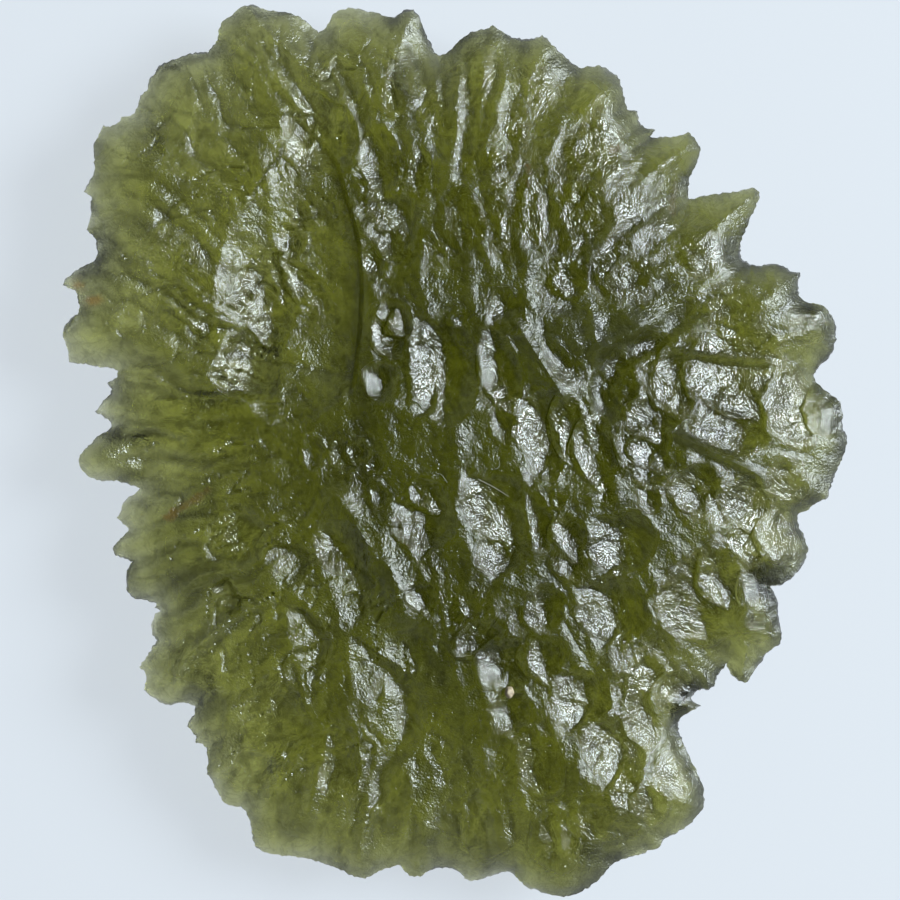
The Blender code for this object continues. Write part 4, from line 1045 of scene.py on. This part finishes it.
def sharpen(mesh, rim_count):
    """Sharp edges where the surface turns a lot, and where face and back meet the rim wall."""
    mesh.set_sharp_from_angle(angle=CREASE_ANGLE)
    ends = np.zeros(len(mesh.edges) * 2, dtype=np.int32)
    mesh.edges.foreach_get("vertices", ends)
    pair = ends.reshape(-1, 2)
    sharp = (pair < 2 * rim_count).all(axis=1) & ((pair < rim_count).sum(axis=1) != 1)
    mark = mesh.attributes.get("sharp_edge") or mesh.attributes.new("sharp_edge", "BOOLEAN", "EDGE")
    creased = np.zeros(len(mesh.edges), dtype=bool)
    mark.data.foreach_get("value", creased)
    mark.data.foreach_set("value", sharp | creased)


def new_material(name):
    """A material with its node tree and its shader."""
    material = bpy.data.materials.new(name)
    material.use_nodes = True
    tree = material.node_tree
    return material, tree, tree.nodes["Principled BSDF"]


def feed(tree, node, inputs):
    """Set a node's inputs to values and colours, or link them to other nodes' outputs."""
    for name, value in inputs.items():
        if isinstance(value, bpy.types.NodeSocket):
            tree.links.new(value, node.inputs[name])
        elif isinstance(value, tuple):
            node.inputs[name].default_value = value + (1.0,)
        else:
            node.inputs[name].default_value = value


def attribute_node(tree, name):
    """A value kept at the mesh's corners."""
    node = tree.nodes.new("ShaderNodeAttribute")
    node.attribute_name = name
    return node.outputs["Fac"]


def noise_node(tree, scale, detail, roughness=0.5, distortion=0.0):
    """Noise in the stone's own coordinates."""
    noise = tree.nodes.new("ShaderNodeTexNoise")
    feed(tree, noise, {
        "Vector": tree.nodes.new("ShaderNodeTexCoord").outputs["Object"],
        "Scale": scale, "Detail": detail, "Roughness": roughness, "Distortion": distortion,
    })
    return noise.outputs["Fac"]


def ramp_node(tree, source, stops):
    """Colours over a value, each as its place and its colour."""
    ramp = tree.nodes.new("ShaderNodeValToRGB")
    points = ramp.color_ramp.elements
    for point, (at, colour) in ((points[0], stops[0]), (points[1], stops[-1])):
        point.position = at
        point.color = colour + (1.0,)
    for at, colour in stops[1:-1]:
        points.new(at).color = colour + (1.0,)
    feed(tree, ramp, {"Fac": source})
    return ramp.outputs["Color"]


def mix_node(tree, blend, inputs):
    """Two colours mixed."""
    mix = tree.nodes.new("ShaderNodeMix")
    mix.data_type = "RGBA"
    mix.blend_type = blend
    feed(tree, mix, inputs)
    return mix.outputs["Result"]


def bump_node(tree, distance, inputs):
    """Small bumps in the shading."""
    bump = tree.nodes.new("ShaderNodeBump")
    feed(tree, bump, {"Strength": 1.0, "Distance": distance, **inputs})
    return bump.outputs["Normal"]


def cloud(x, y, seed, octaves=4):
    """Noise of several sizes laid together, about -1 to 1."""
    total = np.zeros(len(x))
    for k in range(octaves):
        total = total + 0.55 ** k * smooth_noise(x * 2.1 ** k, y * 2.1 ** k, seed + 7 * k)
    return total / 1.6


def evened(values, ends, count, rounds):
    """A value at each corner, evened out with its neighbours round after round."""
    near = np.bincount(ends[:, 0], minlength=count) + np.bincount(ends[:, 1], minlength=count)
    for _ in range(rounds):
        total = np.bincount(ends[:, 0], values[ends[:, 1]], count)
        total = total + np.bincount(ends[:, 1], values[ends[:, 0]], count)
        values = 0.5 * values + 0.5 * total / np.maximum(near, 1)
    return values


def shading(corners, faces, near_rim, thin, upward):
    """How light the skin is at each corner: darker with painted shade in creases and hollows, lighter with
    painted light along the soft ridge, darker in a few duskier places and along flow marks.
    """
    ends = np.vstack([faces[:, [0, 1]], faces[:, [1, 2]], faces[:, [2, 0]]])
    count = len(corners)
    p = corners[:, :2]
    height = corners[:, 2] * upward
    slightly = evened(height, ends, count, CREASE_ROUNDS)
    widely = evened(slightly, ends, count, HOLLOW_ROUNDS)
    inside = 1.0 - near_rim
    crease = np.clip((slightly - height) / CREASE_MEASURE, 0.0, 1.0) * inside
    hollow = np.clip((widely - slightly) / HOLLOW_MEASURE, 0.0, 1.0) * inside
    far, turn, right = from_hub(p)
    round_way = turn * FLOW_RADIUS + FLOW_WAVER * cloud(far / MM, right * 400, SEED + 160)
    flow = cloud(round_way / FLOW_PITCH, far / FLOW_LENGTH, SEED + 170)
    marks = ease(0.5 - 1.6 * flow) * (0.35 + 0.65 * thin)
    blotches = BLOTCH_SHADE * cloud(p[:, 0] / BLOTCH_PITCH, p[:, 1] / BLOTCH_PITCH, SEED + 180)
    # Painted shade in the creases and hollows, and painted light along the ridge
    light = (1.0 - CREASE_PAINTED_SHADE * crease) * (1.0 - HOLLOW_PAINTED_SHADE * hollow)
    light = light * (1.0 + RIDGE_PAINTED_LIGHT * ridge_rise(p) / RIDGE_RISE)
    for *where, share in DUSKY_PX:
        light = light * (1.0 - share * dome(p, *where))
    return light * (1.0 - FLOW_DARKENING * marks) + blotches


def glass_material():
    """Clear green glass with a finely pitted skin."""
    material, tree, shader = new_material("moldavite_glass")
    absorb = tree.nodes.new("ShaderNodeVolumeAbsorption")
    feed(tree, absorb, {"Color": ABSORPTION_COLOUR, "Density": ABSORPTION_DENSITY})
    feed(tree, tree.nodes["Material Output"], {"Volume": absorb.outputs["Volume"]})
    # The skin's colour carries painted shade in creases and hollows and painted light along the ridge, as
    # well as the flow marks
    skin = ramp_node(tree, attribute_node(tree, "shade"), SHADE_STOPS)
    # Painted shade: fine dark lines, as of shaded wrinkles, over the whole skin
    wrinkles = ramp_node(tree, noise_node(tree, WRINKLE_SCALE, 3.0, 0.62, 0.9), WRINKLE_SHADE_STOPS)
    skin = mix_node(tree, "MULTIPLY", {"Factor": 1.0, "A": skin, "B": wrinkles})
    stain = attribute_node(tree, "stain")
    skin = mix_node(tree, "MIX", {"Factor": stain, "A": skin, "B": STAIN_COLOUR})
    form = bump_node(tree, FORM_BUMP, {"Height": noise_node(tree, FORM_SCALE, 2.5)})
    grain = noise_node(tree, GRAIN_SCALE, 1.0)
    feed(tree, shader, {
        "Transmission Weight": 1.0,
        "IOR": GLASS_IOR,
        "Base Color": skin,
        "Roughness": attribute_node(tree, "rough"),
        "Normal": bump_node(tree, GRAIN_BUMP, {"Height": grain, "Normal": form}),
    })
    return material


def marks_from(lines_px, p):
    """How strongly each point is marked by ragged blots, each drawn along a short line."""
    strength = np.zeros(len(p))
    ragged = two_noises(p, BLOT_GRAIN, 2.4, 0.6, SEED + 140)
    for *line, half, most in lines_px:
        dist = segment_distance(p, *ends_of(line))[0]
        blot = ease(1.15 - dist / (half * PX) + 0.45 * ragged)
        strength = np.maximum(strength, most * blot)
    return strength


def rounded(line_px):
    """A smooth path through a few picture points."""
    ends = np.array(line_px, dtype=float)
    before = np.vstack([2 * ends[0] - ends[1], ends, 2 * ends[-1] - ends[-2]])
    out = []
    for i in range(1, len(before) - 2):
        p0, p1, p2, p3 = before[i - 1:i + 3]
        for t in np.linspace(0.0, 1.0, FIBRE_STEPS, endpoint=False):
            out.append(0.5 * (2 * p1 + (p2 - p0) * t + (2 * p0 - 5 * p1 + 4 * p2 - p3) * t * t
                              + (3 * p1 - p0 - 3 * p2 + p3) * t ** 3))
    out.append(ends[-1])
    return plane(out)


def fibre_mesh(line_px, corners, tree):
    """A thin round hair that lies over the relief along a path."""
    path = rounded(line_px)
    z = np.array([corners[tree.find((x, y, 0.0))[1], 2] for x, y in path])
    # A hair spans the small dips
    for _ in range(3):
        z = np.maximum(z, np.convolve(np.pad(z, 2, "edge"), np.ones(5) / 5, "valid"))
    places = np.column_stack([path, z + FIBRE_RADIUS * 1.2])
    along = np.gradient(places, axis=0)
    along /= np.linalg.norm(along, axis=1)[:, None]
    side = np.cross(along, (0.0, 0.0, 1.0))
    side /= np.linalg.norm(side, axis=1)[:, None]
    up = np.cross(side, along)
    rings = []
    for k in range(FIBRE_SIDES):
        turn = 2 * math.pi * k / FIBRE_SIDES
        rings.append(places + FIBRE_RADIUS * (math.cos(turn) * side + math.sin(turn) * up))
    points = np.stack(rings, axis=1).reshape(-1, 3)
    tris = []
    for i in range(len(places) - 1):
        for k in range(FIBRE_SIDES):
            a = i * FIBRE_SIDES + k
            b = i * FIBRE_SIDES + (k + 1) % FIBRE_SIDES
            tris += [(a, b, b + FIBRE_SIDES), (a, b + FIBRE_SIDES, a + FIBRE_SIDES)]
    return points, tris


def dirt_material(name, dark, light, scale):
    """A dull procedural surface between two colours."""
    material, tree, shader = new_material(name)
    tones = ramp_node(tree, noise_node(tree, scale, 3.0), [(0.35, dark), (0.65, light)])
    feed(tree, shader, {"Base Color": tones, "Roughness": 0.7})
    return material


def make_fibres(corners, tree):
    """Lint caught on the crests."""
    points = np.zeros((0, 3))
    tris = []
    for line_px in FIBRES_PX:
        own, own_tris = fibre_mesh(line_px, corners, tree)
        tris += [tuple(v + len(points) for v in t) for t in own_tris]
        points = np.vstack([points, own])
    lint = mesh_object("lint", points, tris)
    lint.data.materials.append(dirt_material("lint", LINT_DARK, LINT_LIGHT, 3000.0))
    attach(lint, "root")


def make_grain(corners, tree):
    """A grain of cream sand stuck in a hollow."""
    bm = bmesh.new()
    bmesh.ops.create_icosphere(bm, subdivisions=3, radius=1.0)
    for corner in bm.verts:
        d = corner.co.normalized()
        bump = 1.0
        for ux, uy, uz, cut in SAND_FACETS:
            facet = Vector((ux, uy, uz)).normalized()
            bump = min(bump, cut / max(d.dot(facet), 1e-3))
        corner.co = d * bump
    points = np.array([tuple(v.co) for v in bm.verts])
    tris = [tuple(v.index for v in f.verts) for f in bm.faces]
    bm.free()
    x, y = plane([SAND_PX])[0]
    z = corners[tree.find((x, y, 0.0))[1], 2]
    points = points * np.array(SAND_HALF) + np.array([x, y, z + 0.45 * SAND_HALF[2]])
    sand = mesh_object("sand_grain", points, tris, smooth=False)
    sand.data.materials.append(dirt_material("sand", SAND_DARK, SAND_LIGHT, 5000.0))
    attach(sand, "root")


def floor_material():
    """A plain pale floor with a faint glow, like a light table."""
    material, tree, shader = new_material("floor")
    paler = tuple(1.04 * c for c in FLOOR_COLOUR)
    tones = ramp_node(tree, noise_node(tree, 3.0, 2.0), [(0.3, FLOOR_COLOUR), (0.7, paler)])
    feed(tree, shader, {
        "Base Color": tones, "Roughness": 0.9,
        "Emission Color": FLOOR_GLOW, "Emission Strength": FLOOR_GLOW_STRENGTH,
    })
    return material


def make_floor():
    """A square of floor under the stone."""
    half = FLOOR_SIZE / 2
    corners = [(-half, -half, 0), (half, -half, 0), (half, half, 0), (-half, half, 0)]
    floor = mesh_object("floor", corners, [(0, 1, 2, 3)], smooth=False)
    floor.data.materials.append(floor_material())


def make_lights():
    """A soft window to the upper right, made of discs that glow more the smaller they are."""
    away = Vector((
        math.cos(KEY_TURN) * math.sin(KEY_SLANT),
        math.sin(KEY_TURN) * math.sin(KEY_SLANT),
        math.cos(KEY_SLANT),
    ))
    for size, glow, stand_off in SOFT_BOXES:
        light = bpy.data.lights.new("soft_box", "AREA")
        light.shape = "DISK"
        light.size = size * stand_off
        # A disc of this glow gives off pi times its glow times its area
        light.energy = glow * math.pi * math.pi * light.size ** 2 / 4
        light.color = LIGHT_COLOUR
        box = bpy.data.objects.new("soft_box", light)
        box.location = away * KEY_AWAY * stand_off
        box.rotation_euler = away.to_track_quat("Z", "Y").to_euler()
        box.visible_camera = False
        bpy.context.scene.collection.objects.link(box)


def make_sky():
    """A sky that is pale low down and dim overhead."""
    world = bpy.data.worlds.new("studio")
    bpy.context.scene.world = world
    world.use_nodes = True
    tree = world.node_tree
    split = tree.nodes.new("ShaderNodeSeparateXYZ")
    feed(tree, split, {"Vector": tree.nodes.new("ShaderNodeTexCoord").outputs["Generated"]})
    sky = ramp_node(tree, split.outputs["Z"], SKY_STOPS)
    feed(tree, tree.nodes["Background"], {"Color": sky, "Strength": 1.0})


def make_camera():
    """A long lens straight above, framed as the picture is."""
    aim = plane([AIM_PX])[0]
    data = bpy.data.cameras.new("camera")
    data.lens = LENS
    data.sensor_width = SENSOR
    data.sensor_fit = "HORIZONTAL"
    data.clip_start = 0.002
    data.clip_end = 10.0
    camera = bpy.data.objects.new("camera", data)
    camera.location = (aim[0], aim[1], AIM_HEIGHT + PICTURE_PX * PX * LENS / SENSOR)
    bpy.context.scene.collection.objects.link(camera)
    bpy.context.scene.camera = camera


def make_stone():
    """The stone with its marks. Gives back the corners that fibres and sand can lie on."""
    corners, faces, near_rim, worn, back_side, rim_count = stone_mesh()
    p = corners[:, :2]
    stone = mesh_object("moldavite_stone", corners, faces)
    sharpen(stone.data, rim_count)
    thin = (1.0 - dome(p, *FACE_THICK_PX)) * (1.0 - near_rim)
    stain = marks_from(STAINS_PX, p) * (corners[:, 2] > STAIN_ABOVE)
    shade = shading(corners, faces, near_rim, thin, np.where(back_side, -1.0, 1.0))
    patches = cloud(p[:, 0] / SKIN_PITCH, p[:, 1] / SKIN_PITCH, SEED + 190)
    rough = SKIN_ROUGHNESS + SKIN_UNEVENNESS * patches
    rough = rough + RIM_FROST * near_rim + WORN_FROST * worn + STAIN_DULLNESS * stain
    rough = np.clip(rough, SKIN_LEAST, 1.0)
    for name, values in (("shade", shade), ("rough", rough), ("stain", stain)):
        marks = stone.data.attributes.new(name, "FLOAT", "POINT")
        marks.data.foreach_set("value", values.astype(np.float32))
    stone.data.materials.append(glass_material())
    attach(stone, "root")
    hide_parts("moldavite")
    return corners[corners[:, 2] > 0.0]


bpy.context.scene.view_settings.view_transform = "Standard"
skin = make_stone()
finder = finder_of(skin)
make_fibres(skin, finder)
make_grain(skin, finder)
make_floor()
make_lights()
make_sky()
make_camera()
